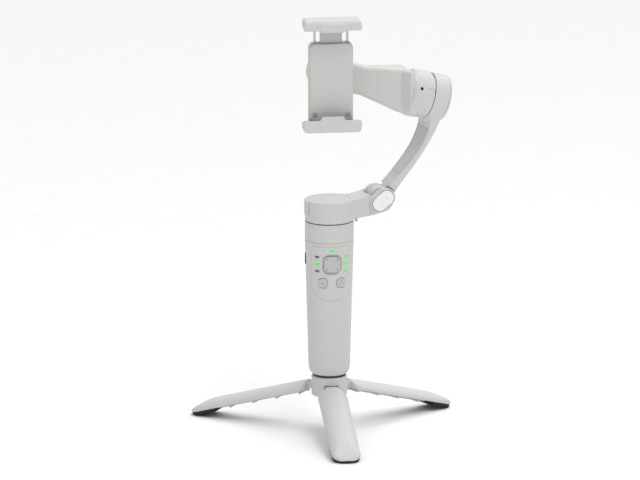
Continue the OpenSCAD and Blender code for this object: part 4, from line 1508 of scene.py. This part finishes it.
@dataclass
class LowerArm:
    """The pan cap with its arm, the ears of the fold hinge and the hinge's oval button.

    Attributes:
        shop: The shared workshop.
        half_width: Half the arm's width at the hinge.
        ear_r: Radius of the ears.
        clear_r: Radius kept free round the hinge.
        slot_half: Half the gap between the ears.
        button_turn: Turn of the oval button, rising to the right.
    """

    shop: Shop
    half_width: float = 9.5
    ear_r: float = 9.6
    clear_r: float = 10.2
    slot_half: float = 5.15
    button_turn: float = 38.0

    def build(self) -> None:
        """Makes every piece."""
        low, high = (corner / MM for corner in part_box("pan_cap_cover"))
        self.top, self.cover_r = high.z, high.x
        self.cover_foot = low.z
        self.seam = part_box("lower_arm")[0].z / MM
        self.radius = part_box("pan_collar")[1].x / MM
        self.body()
        self.cover()
        self.button()

    def oval(self, length: float, width: float) -> list[Point2]:
        """The button's oval round the hinge, in X and Z."""
        turn = math.radians(self.button_turn)
        loop = rounded(length, width, width / 2 - 0.01)
        hx, hz = self.shop.hinge_x, self.shop.hinge_z
        return [
            (hx + x * math.cos(turn) - z * math.sin(turn), hz + x * math.sin(turn) + z * math.cos(turn))
            for x, z in loop
        ]

    def body(self) -> None:
        """Cap, arm and ears in one moulding."""
        hx, hz, seam, top = self.shop.hinge_x, self.shop.hinge_z, self.seam, self.top
        cap = drum(self.radius, seam - 6, top, 0.9).cut(Solid(lambda x, y, z: z - seam), 0.5)
        under = bezier([(4, seam + 1), (20, seam + 1), (31, seam + 1.5), (hx + 1, hz - self.ear_r)], 14)
        over = bezier([(hx - 1, hz + self.ear_r - 0.2), (30, hz + 5), (20, top - 0.5), (4, top - 0.4)], 14)
        side = Solid(lambda x, y, z: outline_distance(x, z, under + over))
        half = self.half_width
        plan_right = bezier([(4, -self.radius + 2.6), (12, -14.6), (16, -half), (27, -half)], 20) + [(60, -half)]
        plan = plan_right + [(x, -y) for x, y in reversed(plan_right)]
        arm = side.common(Solid(lambda x, y, z: outline_distance(x, y, plan)), 1.6)
        ears = drum_y(hx, hz, self.ear_r, -half - 0.35, half, 1.0)
        panel = drum(self.radius + 0.5, 168.3, top - 0.4, 0.2)
        turn = Matrix.Rotation(math.radians(169), 4, "Z")
        sector = block((0, -7.4, 160), (30, 7.4, 190), 0.2).placed(turn)
        groove = block((15, 7.4, 168.3), (17.0, 8.0, top + 1), 0.1).placed(turn)
        cap = cap.join(panel.common(sector, 0.1)).cut(groove, 0.1)
        body = cap.join(arm, 1.0).join(ears, 0.8)
        body = body.join(slab_y(self.oval(21.4, 14.6), -12.1, -half + 0.6, 0.55), 0.5)
        body = body.cut(slab_y(self.oval(18.9, 12.1), -16, -half - 0.35, 0.1), 0.3)
        gap = drum_y(hx, hz, self.clear_r, -self.slot_half, self.slot_half, 0.2)
        gap = gap.join(block((hx, -self.slot_half, hz - 14), (hx + 20, self.slot_half, hz + 14), 0.2))
        gap = gap.join(block((hx - 11, -self.slot_half, hz + 3), (hx, self.slot_half, hz + 14), 0.2))
        lean = Matrix.Translation((hx, 0, hz)) @ Matrix.Rotation(-math.radians(self.button_turn), 4, "Y")
        gap = gap.join(block((-5, -30, 7.3), (25, -self.slot_half, 19), 0.3).placed(lean))
        body = body.cut(gap, 0.5).cut(drum_y(hx, hz, 3.02, -20, 20, 0.1))
        body = body.cut(drum(self.cover_r + 0.04, top - 7.2, top + 4, 0.1), 0.05)
        body = body.cut(drum(self.radius - 2.4, seam - 4, seam + 1.9, 0.2)).cut(drum(5, seam - 4, seam + 14, 0.2))
        reach = self.radius
        low, high = (-reach, -reach, seam), (hx + 12, reach, hz + self.ear_r + 1)
        made = carve("pan_cap_and_arm", body, low, high, 0.42, self.shop.arm)
        self.shop.deliver(made, "lower_arm", Slot.SHELL, "lower_arm")

    def cover(self) -> None:
        """The disc let into the top of the cap."""
        r, top = self.cover_r - 0.02, self.top
        ring = [(0, top, 0), (0, self.cover_foot, 0), (4.8, self.cover_foot, 0.3), (4.8, top - 1.6, 0.3)]
        ring += [(r, top - 1.6, 0.2), (r, top, 0.12)]
        made = revolve("pan_cap_disc", soft_profile(ring), Matrix())
        self.shop.deliver(made, "lower_arm", Slot.SHELL, "pan_cap_cover")

    def button(self) -> None:
        """The oval button with a small row of three sunk dots."""
        hx, hz = self.shop.hinge_x, self.shop.hinge_z
        cap = slab_y(self.oval(18.4, 11.6), -13.05, -10.9, 0.9)
        turn = math.radians(self.button_turn)
        for k in (-1, 0, 1):
            x, z = hx + 3.1 * k * math.cos(turn), hz + 3.1 * k * math.sin(turn)
            cap = cap.cut(drum_y(x, z, 0.62, -14, -12.75, 0.1), 0.15)
        stem = drum_y(hx, hz, 1.5, -11.5, -6.4, 0.2)
        low, high = (hx - 9, -13.1, hz - 9), (hx + 9, -6.4, hz + 9)
        made = carve("hinge_button_cap", cap.join(stem), low, high, 0.24, self.shop.arm)
        self.shop.deliver(made, "hinge_button", Slot.BUTTON, "hinge_button")
        steel = self.shop.paints[Slot.STEEL]
        place = self.shop.arm @ Matrix.Translation((hx, -9.8, hz)) @ Matrix.Rotation(-math.pi / 2, 4, "X")
        spring = Coil(2.2, 0.22, 1.4, 2.6).build("button_spring", place, steel)
        self.shop.deliver(spring, "lower_arm", Slot.STEEL, "hinge_spring")


@dataclass
class UpperArm:
    """The curved arm with the tilt motor's housing, its inlaid cover and its end cap.

    Attributes:
        shop: The shared workshop.
        outside: Control points of the arm's outer curve, in the arm's own X and Z.
        inside: Control points of its inner curve.
        housing_r: Radius of the tilt motor's housing.
        housing_l: Length of the housing.
    """

    shop: Shop
    outside: tuple[Point2, ...] = ((50.6, 184.0), (63.0, 200.5), (80.0, 221.0), (88.5, 246.0))
    inside: tuple[Point2, ...] = ((49.8, 193.3), (61.1, 205.7), (71.0, 215.4), (76.0, 231.6))
    housing_r: float = 18.0
    housing_l: float = 11.8

    def build(self) -> None:
        """Makes every piece."""
        hx, hz = self.shop.hinge_x, self.shop.hinge_z
        inner = bezier(self.inside, 20)
        self.profile = [(hx + 6, hz - 2)] + bezier(self.outside, 24) + [(84, 262), (78, 246)]
        self.profile += inner[::-1] + [(hx + 4, hz + 9)]
        self.inner = inner
        self.body()
        self.cover()
        self.end_cap()

    def width(self, x: Array, y: Array, z: Array) -> Array:
        """Signed distance to the arm's tapering sides."""
        lean = math.radians(35)
        along = (x - self.shop.hinge_x) * math.sin(lean) + (z - self.shop.hinge_z) * math.cos(lean)
        rise = np.clip((along - 20) / 54, 0, 1)
        return (np.abs(y) - 9.5 - 4.1 * rise) * 0.997

    def track(self, rim_w: float, depth: float) -> Solid:
        """The strip on the arm's inner face, narrower than the arm by a rim on each side."""
        strip = self.inner[2:]
        loop = [(x - 3, z + 2) for x, z in strip] + [(x + 0.8 * depth, z - 0.6 * depth) for x, z in strip[::-1]]
        flat = Solid(lambda x, y, z: outline_distance(x, z, loop))
        return flat.common(Solid(lambda x, y, z: self.width(x, y, z) + rim_w), 0.2)

    def body(self) -> None:
        """Arm, tongue and motor housing in one moulding."""
        hx, hz = self.shop.hinge_x, self.shop.hinge_z
        tilt = self.shop.tilt_in_arm
        side = Solid(lambda x, y, z: outline_distance(x, z, self.profile))
        arm = side.common(Solid(self.width), 1.5)
        housing = drum(self.housing_r, 0, self.housing_l, 0.35).placed(tilt)
        body = arm.join(housing, 3.0)
        body = body.cut(drum(24, -10, 0, 0.1).placed(tilt), 0.4)
        for side_y in (-1, 1):
            low, high = sorted((side_y * 4.8, side_y * 30))
            body = body.cut(drum_y(hx, hz, 11.4, low, high, 0.1), 0.5)
        body = body.join(drum_y(hx, hz, 9.2, -4.8, 4.8, 0.7), 0.8)
        body = body.cut(drum_y(hx, hz, 3.05, -20, 20, 0.1))
        body = body.cut(drum(self.housing_r - 2, -1, self.housing_l - 2.4, 0.3).placed(tilt))
        body = body.cut(drum(4, -1, 20, 0.1).placed(tilt))
        body = body.cut(drum(self.housing_r + 0.05, self.housing_l, 30, 0.1).placed(tilt), 0.2)
        body = body.cut(self.track(1.2, 1.9), 0.25)
        low, high = (hx - 10, -18, hz - 10), (96, 18, 275)
        made = carve("upper_arm_body", body, low, high, 0.5, self.shop.arm)
        self.shop.deliver(made, "upper_arm", Slot.SHELL, "upper_arm")

    def cover(self) -> None:
        """The strip that closes the cable channel."""
        side = Solid(lambda x, y, z: outline_distance(x, z, self.profile) + 0.45)
        body = self.track(1.35, 1.78).common(side, 0.4)
        made = carve("arm_cover_strip", body, (49, -12.6, 190), (79, 12.6, 236), 0.36, self.shop.arm)
        self.shop.deliver(made, "upper_arm", Slot.COVER, "upper_arm_cover")

    def end_cap(self) -> None:
        """The rounded cap with a disc let into its middle."""
        z, r = self.housing_l, self.housing_r
        turns = np.linspace(0, math.pi / 2, 12)
        shoulder = [(r - 3.6 * (1 - math.cos(t)), z + 0.02 + 2.3 * math.sin(t)) for t in turns]
        outline = [(0, z - 3.1), (3.8, z - 3.1), (3.8, z), *shoulder]
        outline += [(13.5, z + 2.38), (13.35, z + 2.0), (13.0, z + 2.0), (12.85, z + 2.4), (0, z + 2.5)]
        made = revolve("tilt_end_disc", outline, self.shop.arm @ self.shop.tilt_in_arm, 160)
        self.shop.deliver(made, "upper_arm", Slot.SHELL, "tilt_end_cap")


@dataclass
class Bracket:
    """The barrel on the clamp's side of the tilt seam, its arm behind the phone and the roll motor's housing.

    Attributes:
        shop: The shared workshop.
        barrel_l: Length of the barrel.
        radius: Radius of the barrel.
        roll_r: Radius of the roll motor's housing.
        roll_span: Front and rear faces of that housing.
    """

    shop: Shop
    barrel_l: float = 17.0
    radius: float = 18.0
    roll_r: float = 16.0
    roll_span: tuple[float, float] = (3.0, 17.0)

    def build(self) -> None:
        """Makes every piece."""
        self.body()
        self.back_cover()
        self.screw()

    def body(self) -> None:
        """Barrel, arm and roll housing in one moulding."""
        tilt, z0 = self.shop.tilt_in_arm, self.shop.axes_z
        to_arm = self.shop.arm.inverted()
        turn = self.shop.dip
        side = [(-4, -13), (30, -11), (60, -17), (78, -17.8), (78, 17.8), (60, 17.4), (30, 12), (-4, 14)]
        side = [
            (x * math.cos(turn) + z * math.sin(turn), z0 - x * math.sin(turn) + z * math.cos(turn)) for x, z in side
        ]
        plan = [(-6, 4), (20, 3), (38, 1), (56, -6), (61, -14), (65, -14), (65, 14), (61, 16), (50, 14), (30, 12)]
        plan.append((-6, 14))
        arm = Solid(lambda x, y, z: outline_distance(x, z, side))
        arm = arm.common(Solid(lambda x, y, z: outline_distance(x, y, plan)), 4.0)
        barrel = drum(self.radius, -self.barrel_l, 6, 2.6).cut(Solid(lambda x, y, z: -0.4 - z), 0.4)
        near, far = self.roll_span
        roll = drum_y(0, z0, self.roll_r, near, far, 0.9).placed(to_arm)
        body = arm.join(roll, 2.5).join(barrel.placed(tilt), 3.0)
        body = body.cut(Solid(lambda x, y, z: -0.4 - z).placed(tilt), 0.3)
        body = body.cut(drum(self.radius - 2, -3.2, 6, 0.2).placed(tilt))
        body = body.cut(drum_y(0, z0, self.roll_r - 2, near - 4, near + 11, 0.3).placed(to_arm), 0.3)
        body = body.cut(drum_y(0, z0, 4, near - 4, 40, 0.1).placed(to_arm))
        slot = block((-1.4, -self.radius - 2, -7.3), (1.4, -self.radius + 0.5, 2), 0.2)
        body = body.cut(slot.placed(tilt @ self.mark_turn()), 0.15)
        body = body.cut(drum_y(0, 0, 1.3, 0, 9, 0.1).placed(tilt @ self.screw_place()))
        low, high = (-17, -18.5, z0 - 38), (80, 21, z0 + 18)
        made = carve("bracket_body", body, low, high, 0.55, self.shop.arm)
        self.shop.deliver(made, "bracket", Slot.SHELL, "tilt_bracket")

    def screw_place(self) -> Matrix:
        """Frame of the small screw in the barrel, Y pointing outwards."""
        return self.mark_turn() @ Matrix.Translation((0, -12, -11.8)) @ Matrix.Rotation(math.pi, 4, "Z")

    def mark_turn(self) -> Matrix:
        """Turn of the marker groove and the screw about the tilt axis."""
        return Matrix.Rotation(math.radians(-21), 4, "Z")

    def screw(self) -> None:
        """The small dark screw."""
        head = drum_y(0, 0, 1.22, 0, 5.5, 0.25)
        head = head.cut(block((-0.7, 5.1, -0.14), (0.7, 6, 0.14), 0.03))
        head = head.cut(block((-0.14, 5.1, -0.7), (0.14, 6, 0.7), 0.03))
        place = self.shop.arm @ self.shop.tilt_in_arm @ self.screw_place()
        made = carve("barrel_screw", head, (-1.3, 0, -1.3), (1.3, 5.6, 1.3), 0.12, place)
        self.shop.deliver(made, "bracket", Slot.INNER, "bracket_screw")

    def back_cover(self) -> None:
        """The disc behind the roll motor."""
        far, r = self.roll_span[1], self.roll_r
        ring = [(0, -2.9, 0), (3.8, -2.9, 0.2), (3.8, 0.03, 0.1), (r - 0.45, 0.03, 0.1), (r - 0.6, 1.2, 0.8)]
        ring += [(r - 3.0, 2.0, 0.9), (11.0, 2.1, 0.1), (10.9, 1.75, 0.1)]
        ring += [(10.5, 1.75, 0.1), (10.4, 2.12, 0.1), (0, 2.2, 0)]
        turn = Matrix.Translation((0, far, self.shop.axes_z)) @ Matrix.Rotation(-math.pi / 2, 4, "X")
        made = revolve("roll_back_disc", soft_profile(ring), turn)
        self.shop.deliver(made, "bracket", Slot.SHELL, "roll_back_cover")


# ---------------------------------------------------------------- clamp


@dataclass
class Clamp:
    """The phone clamp: its body with the lower jaw, and the sprung upper jaw.

    Attributes:
        shop: The shared workshop.
        jaw_w: Width of the jaws.
        jaw_t: Thickness of the jaws.
        lip_t: Thickness of the front lips.
        tab_w: Width of the lips' middle tab.
        plate_w: Width of the back plate.
        rod_x: Distance of the guide rods from the middle.
    """

    shop: Shop
    jaw_w: float = 44.5
    jaw_t: float = 7.0
    lip_t: float = 2.0
    tab_w: float = 17.2
    plate_w: float = 34.0
    rod_x: float = 12.6

    def build(self) -> None:
        """Makes every piece."""
        low_pad = [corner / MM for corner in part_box("lower_jaw_pad")]
        high_pad = [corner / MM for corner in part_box("upper_jaw_pad")]
        self.pad_low, self.pad_high = low_pad, high_pad
        self.low_z, self.high_z = low_pad[1].z, high_pad[0].z
        self.pad_t = low_pad[1].z - low_pad[0].z
        self.front = low_pad[0].y
        self.slot_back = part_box("clamp_front_plate")[0].y / MM
        self.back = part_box("clamp_body")[1].y / MM
        self.jaw_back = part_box("upper_jaw")[1].y / MM
        self.plate_low = self.low_z - self.pad_t - 5
        self.plate_high = self.high_z - 11
        self.body()
        self.plate()
        self.upper()
        for name, corners, node, body in (
            ("lower_pad_ribbed", self.pad_low, "lower_jaw_pad", "clamp"),
            ("upper_pad_ribbed", self.pad_high, "upper_jaw_pad", "upper_jaw"),
        ):
            self.pad(name, corners, node, body)
        self.rods()

    def jaw(self, foot: float, outer: float) -> Solid:
        """A jaw's block with large roundings on its outer side.

        Args:
            foot: Height of its lower face.
            outer: 1 if its outer side is the upper one, -1 if it is the lower one.

        Returns:
            The solid.
        """
        half, near, far = self.jaw_w / 2, self.front - self.lip_t, self.jaw_back
        plan = slab_z(rounded(2 * half, far - near, 2.2, 0, (near + far) / 2), foot, foot + self.jaw_t, 0.5)
        high, low = (3.4, 0.8) if outer > 0 else (0.8, 3.4)
        top, z0 = foot + self.jaw_t, foot
        loop = arc(half - high, top - high, high, 0, 90) + arc(-half + high, top - high, high, 90, 180)
        loop += arc(-half + low, z0 + low, low, 180, 270) + arc(half - low, z0 + low, low, 270, 360)
        face = slab_y(loop, near, far, 0.7)
        middle = top if outer > 0 else z0
        slant = Solid(lambda x, y, z: ((z - middle) * outer * 0.64 - (y - near) * 0.77 + 1.5) + 0 * x)
        return plan.common(face, 0.6).common(slant, 0.8)

    def lip(self, half: float, low: float, high: float, corner: float) -> Solid:
        """An upright lip in front of the phone."""
        loop = rounded(2 * half, high - low, corner, 0, (low + high) / 2)
        return slab_y(loop, self.front - self.lip_t, self.front, 0.55)

    def body(self) -> None:
        """Back plate and lower jaw in one moulding."""
        z0, low, high = self.low_z, self.plate_low, self.plate_high
        loop = rounded(self.plate_w, high - low, 5, 0, (low + high) / 2)
        plate = slab_y(loop, self.slot_back + 1.6, self.back, 0.9)
        foot = z0 - self.pad_t - self.jaw_t
        body = plate.join(self.jaw(foot, -1), 1.2)
        body = body.join(self.lip(self.jaw_w / 2, foot + 3.6, z0 + 1.9, 1.8), 0.4)
        body = body.join(self.lip(self.tab_w / 2, foot + 3.6, z0 + 5, 1.4), 3.0)
        body = body.cut(self.channel(low + 5, 400, 0.25), 0.3)
        for x in (-self.rod_x, self.rod_x):
            bore = drum(1.7, low + 5, low + 85, 0.1).placed(Matrix.Translation((x, self.slot_back + 3.2, 0)))
            body = body.cut(bore, 0.1)
        body = body.cut(drum_y(0, self.shop.axes_z, 9.03, self.back - 1.2, self.back + 4, 0.1), 0.2)
        for x, z in self.screw_spots():
            body = body.cut(drum_y(x, z, 1.02, self.slot_back, self.slot_back + 5, 0.05))
        half = self.jaw_w / 2
        low_corner, high_corner = (-half, self.front - self.lip_t, foot), (half, self.back, high)
        made = carve("clamp_and_lower_jaw", body, low_corner, high_corner, 0.42, Matrix())
        self.shop.deliver(made, "clamp", Slot.SHELL, "clamp_body")

    def channel(self, low: float, high: float, grow: float) -> Solid:
        """The upper jaw's tongue, or the channel it slides in."""
        near = self.slot_back + 2
        return block((-8.5 - grow, near - grow, low), (8.5 + grow, near + 2.4 + grow, high), 0.2)

    def screw_spots(self) -> list[Point2]:
        """Places of the two front screws."""
        return [(x, self.plate_low + 10) for x in (-12.5, 12.5)]

    def plate(self) -> None:
        """The plate behind the phone, with its two screws."""
        low, high, near = self.plate_low + 5, self.plate_high - 1, self.slot_back
        body = slab_y(rounded(self.plate_w - 1.6, high - low, 4, 0, (low + high) / 2), near, near + 1.6, 0.4)
        for x, z in self.screw_spots():
            body = body.cut(drum_y(x, z, 1.8, near - 2, near + 1, 0.05), 0.15)
            body = body.cut(drum_y(x, z, 1.0, near, near + 3, 0.05))
        half = self.plate_w / 2 - 0.8
        made = carve("clamp_plate", body, (-half, near, low), (half, near + 1.6, high), 0.4, Matrix())
        self.shop.deliver(made, "clamp", Slot.COVER, "clamp_front_plate")
        heads = []
        for x, z in self.screw_spots():
            head = drum_y(x, z, 1.72, near + 0.1, near + 1, 0.2)
            head = head.join(drum_y(x, z, 1.0, near + 0.8, near + 4.6, 0.1))
            head = head.cut(block((x - 1, near - 1, z - 0.2), (x + 1, near + 0.55, z + 0.2), 0.04))
            head = head.cut(block((x - 0.2, near - 1, z - 1), (x + 0.2, near + 0.55, z + 1), 0.04))
            low_corner, high_corner = (x - 1.8, near, z - 1.8), (x + 1.8, near + 4.6, z + 1.8)
            heads.append(carve("head", head, low_corner, high_corner, 0.15, Matrix()))
        self.shop.deliver(merge("clamp_screw_heads", heads), "clamp", Slot.STEEL, "clamp_screws")

    def upper(self) -> None:
        """The sliding jaw with its tongue."""
        z0 = self.high_z
        foot = z0 + self.pad_t
        body = self.jaw(foot, 1)
        body = body.join(self.lip(self.jaw_w / 2, foot - 1, foot + self.jaw_t - 3.4, 1.2), 0.4)
        body = body.join(self.lip(self.tab_w / 2, z0 - 1, foot + self.jaw_t - 3.4, 1.2), 3.0)
        body = body.join(self.channel(foot - 46, foot + 3, 0.0), 0.4)
        for x in (-self.rod_x, self.rod_x):
            bore = drum(0.95, foot - 1, foot + 4, 0.05).placed(Matrix.Translation((x, self.slot_back + 3.2, 0)))
            body = body.cut(bore, 0.1)
        half = self.jaw_w / 2
        low_corner = (-half, self.front - self.lip_t, foot - 46)
        made = carve("sliding_jaw", body, low_corner, (half, self.jaw_back, foot + self.jaw_t), 0.42, Matrix())
        self.shop.deliver(made, "upper_jaw", Slot.SHELL, "upper_jaw")

    def pad(self, name: str, corners: list[Vector], node: str, body: str) -> None:
        """A jaw's rubber pad with shallow ribs across it."""
        low, high = corners
        sign = 1.0 if node == "lower_jaw_pad" else -1.0
        face = high.z if sign > 0 else low.z
        plain = block(low, high, 0.25)
        groove = Solid(lambda x, y, z: (face - 0.3 - z) * sign + 0.35 * np.abs(np.sin(x * math.pi / 2.2)) + 0 * y)
        made = carve(name, plain.cut(groove.grown(-0.05), 0.1), low, high, 0.3, Matrix())
        self.shop.deliver(made, body, Slot.PAD, node)

    def rods(self) -> None:
        """The guide rods and the springs round them."""
        steel = self.shop.paints[Slot.STEEL]
        y, top = self.slot_back + 3.2, self.high_z + self.pad_t
        bars, coils = [], []
        for x in (-self.rod_x, self.rod_x):
            place = Matrix.Translation((x, y, top - 42))
            ring = [(0, 0, 0), (0.9, 0, 0.2), (0.9, 46, 0.2), (0, 46, 0)]
            bars.append(revolve("bar", soft_profile(ring, 3), place, 24))
            spot = Matrix.Translation((x, y, top - 44 + 0.3))
            coils.append(Coil(1.25, 0.22, 32.4, 26).build("coil", spot, steel))
        self.shop.deliver(merge("jaw_guide_rods", bars), "upper_jaw", Slot.STEEL, "guide_rods")
        springs = merge("jaw_coils", coils)
        springs.data.materials.append(steel)
        self.shop.deliver(springs, "upper_jaw", Slot.STEEL, "jaw_springs")


# ---------------------------------------------------------------- studio


@dataclass
class Studio:
    """Plain pale floor, soft light and a long-lens camera.

    Attributes:
        azimuth: Direction the camera looks from, in degrees from the front.
        elevation: Height of the camera over the level, in degrees.
        distance: Distance from the object, in millimetres.
        lens: Focal length in millimetres.
        floor_reach: Half the floor's width, in millimetres.
    """

    azimuth: float = -7.0
    elevation: float = 13.5
    distance: float = 8160.0
    lens: float = 600.0
    floor_reach: float = 30000.0

    def build(self) -> None:
        """Adds floor, lights, world and camera."""
        objects = [self.floor()]
        objects.append(self.lamp("key_light", (500, -900, 1700), 900, 12, (1.0, 0.995, 0.985)))
        objects.append(self.lamp("fill_light", (-1300, -1300, 500), 1000, 3.5, (0.98, 0.99, 1.0)))
        objects.append(self.daylight())
        objects.append(self.camera())
        self.world()
        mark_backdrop(*objects)

    def floor(self) -> bpy.types.Object:
        """A wide plain floor."""
        reach = self.floor_reach
        points = [(x * reach, y * reach, -0.02) for x, y in ((-1, -1), (1, -1), (1, 1), (-1, 1))]
        obj = mesh_object("studio_floor", points, [(0, 1, 2, 3)], Matrix())
        obj.data.materials.append(MouldedPlastic("studio_paper", (0.9, 0.9, 0.9), 0.75, 0.01).build())
        return obj

    def lamp(
        self, name: str, spot: Sequence[float], size: float, watts: float, colour: Sequence[float]
    ) -> bpy.types.Object:
        """A square soft light aimed at the object."""
        data = bpy.data.lights.new(name, "AREA")
        data.size = size * MM
        data.energy = watts
        data.color = colour
        obj = bpy.data.objects.new(name, data)
        bpy.context.scene.collection.objects.link(obj)
        place = Vector(spot) * MM
        aim = Vector((0, 0, 0.16)) - place
        obj.matrix_world = Matrix.Translation(place) @ aim.to_track_quat("-Z", "Y").to_matrix().to_4x4()
        return obj

    def daylight(self) -> bpy.types.Object:
        """A soft even light from above and behind."""
        data = bpy.data.lights.new("daylight", "SUN")
        data.energy = 2.0
        data.angle = math.radians(70)
        obj = bpy.data.objects.new("daylight", data)
        bpy.context.scene.collection.objects.link(obj)
        obj.matrix_world = Vector((-0.25, -0.5, -1.0)).to_track_quat("-Z", "Y").to_matrix().to_4x4()
        return obj

    def camera(self) -> bpy.types.Object:
        """The camera, a long lens from the front, a little to the left and above."""
        data = bpy.data.cameras.new("camera")
        data.lens = self.lens
        data.sensor_width = 36
        data.clip_end = 40
        obj = bpy.data.objects.new("camera", data)
        bpy.context.scene.collection.objects.link(obj)
        a, e = math.radians(self.azimuth), math.radians(self.elevation)
        right = Vector((math.cos(a), math.sin(a), 0))
        ahead = Vector((-math.sin(a) * math.cos(e), math.cos(a) * math.cos(e), -math.sin(e)))
        target = Vector((0, 0, 147.5)) - right * 7.1
        spot = (target - ahead * self.distance) * MM
        obj.matrix_world = Matrix.Translation(spot) @ ahead.to_track_quat("-Z", "Y").to_matrix().to_4x4()
        bpy.context.scene.camera = obj
        return obj

    def world(self) -> None:
        """An even pale surrounding."""
        world = bpy.data.worlds.new("studio")
        world.use_nodes = True
        world.node_tree.nodes["Background"].inputs["Color"].default_value = (1, 1, 1, 1)
        world.node_tree.nodes["Background"].inputs["Strength"].default_value = 0.4
        bpy.context.scene.world = world
        bpy.context.scene.view_settings.view_transform = "Standard"


def sizes() -> list[list[float]]:
    """The bounds of everything shown, as plain lists."""
    return [list(corner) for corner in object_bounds()]


def main() -> None:
    """Builds the object piece by piece and sets up the studio."""
    logging.basicConfig(level=logging.INFO, format="%(message)s", stream=sys.stdout)
    shop = Shop(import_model())
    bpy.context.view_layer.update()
    for assembly in (Tripod, Grip, LowerArm, UpperArm, Bracket, Clamp):
        LOG.info("building %s", assembly.__name__)
        assembly(shop).build()
    shop.dress_nodes()
    Studio().build()
    bpy.context.view_layer.update()


if __name__ == "__main__":
    main()
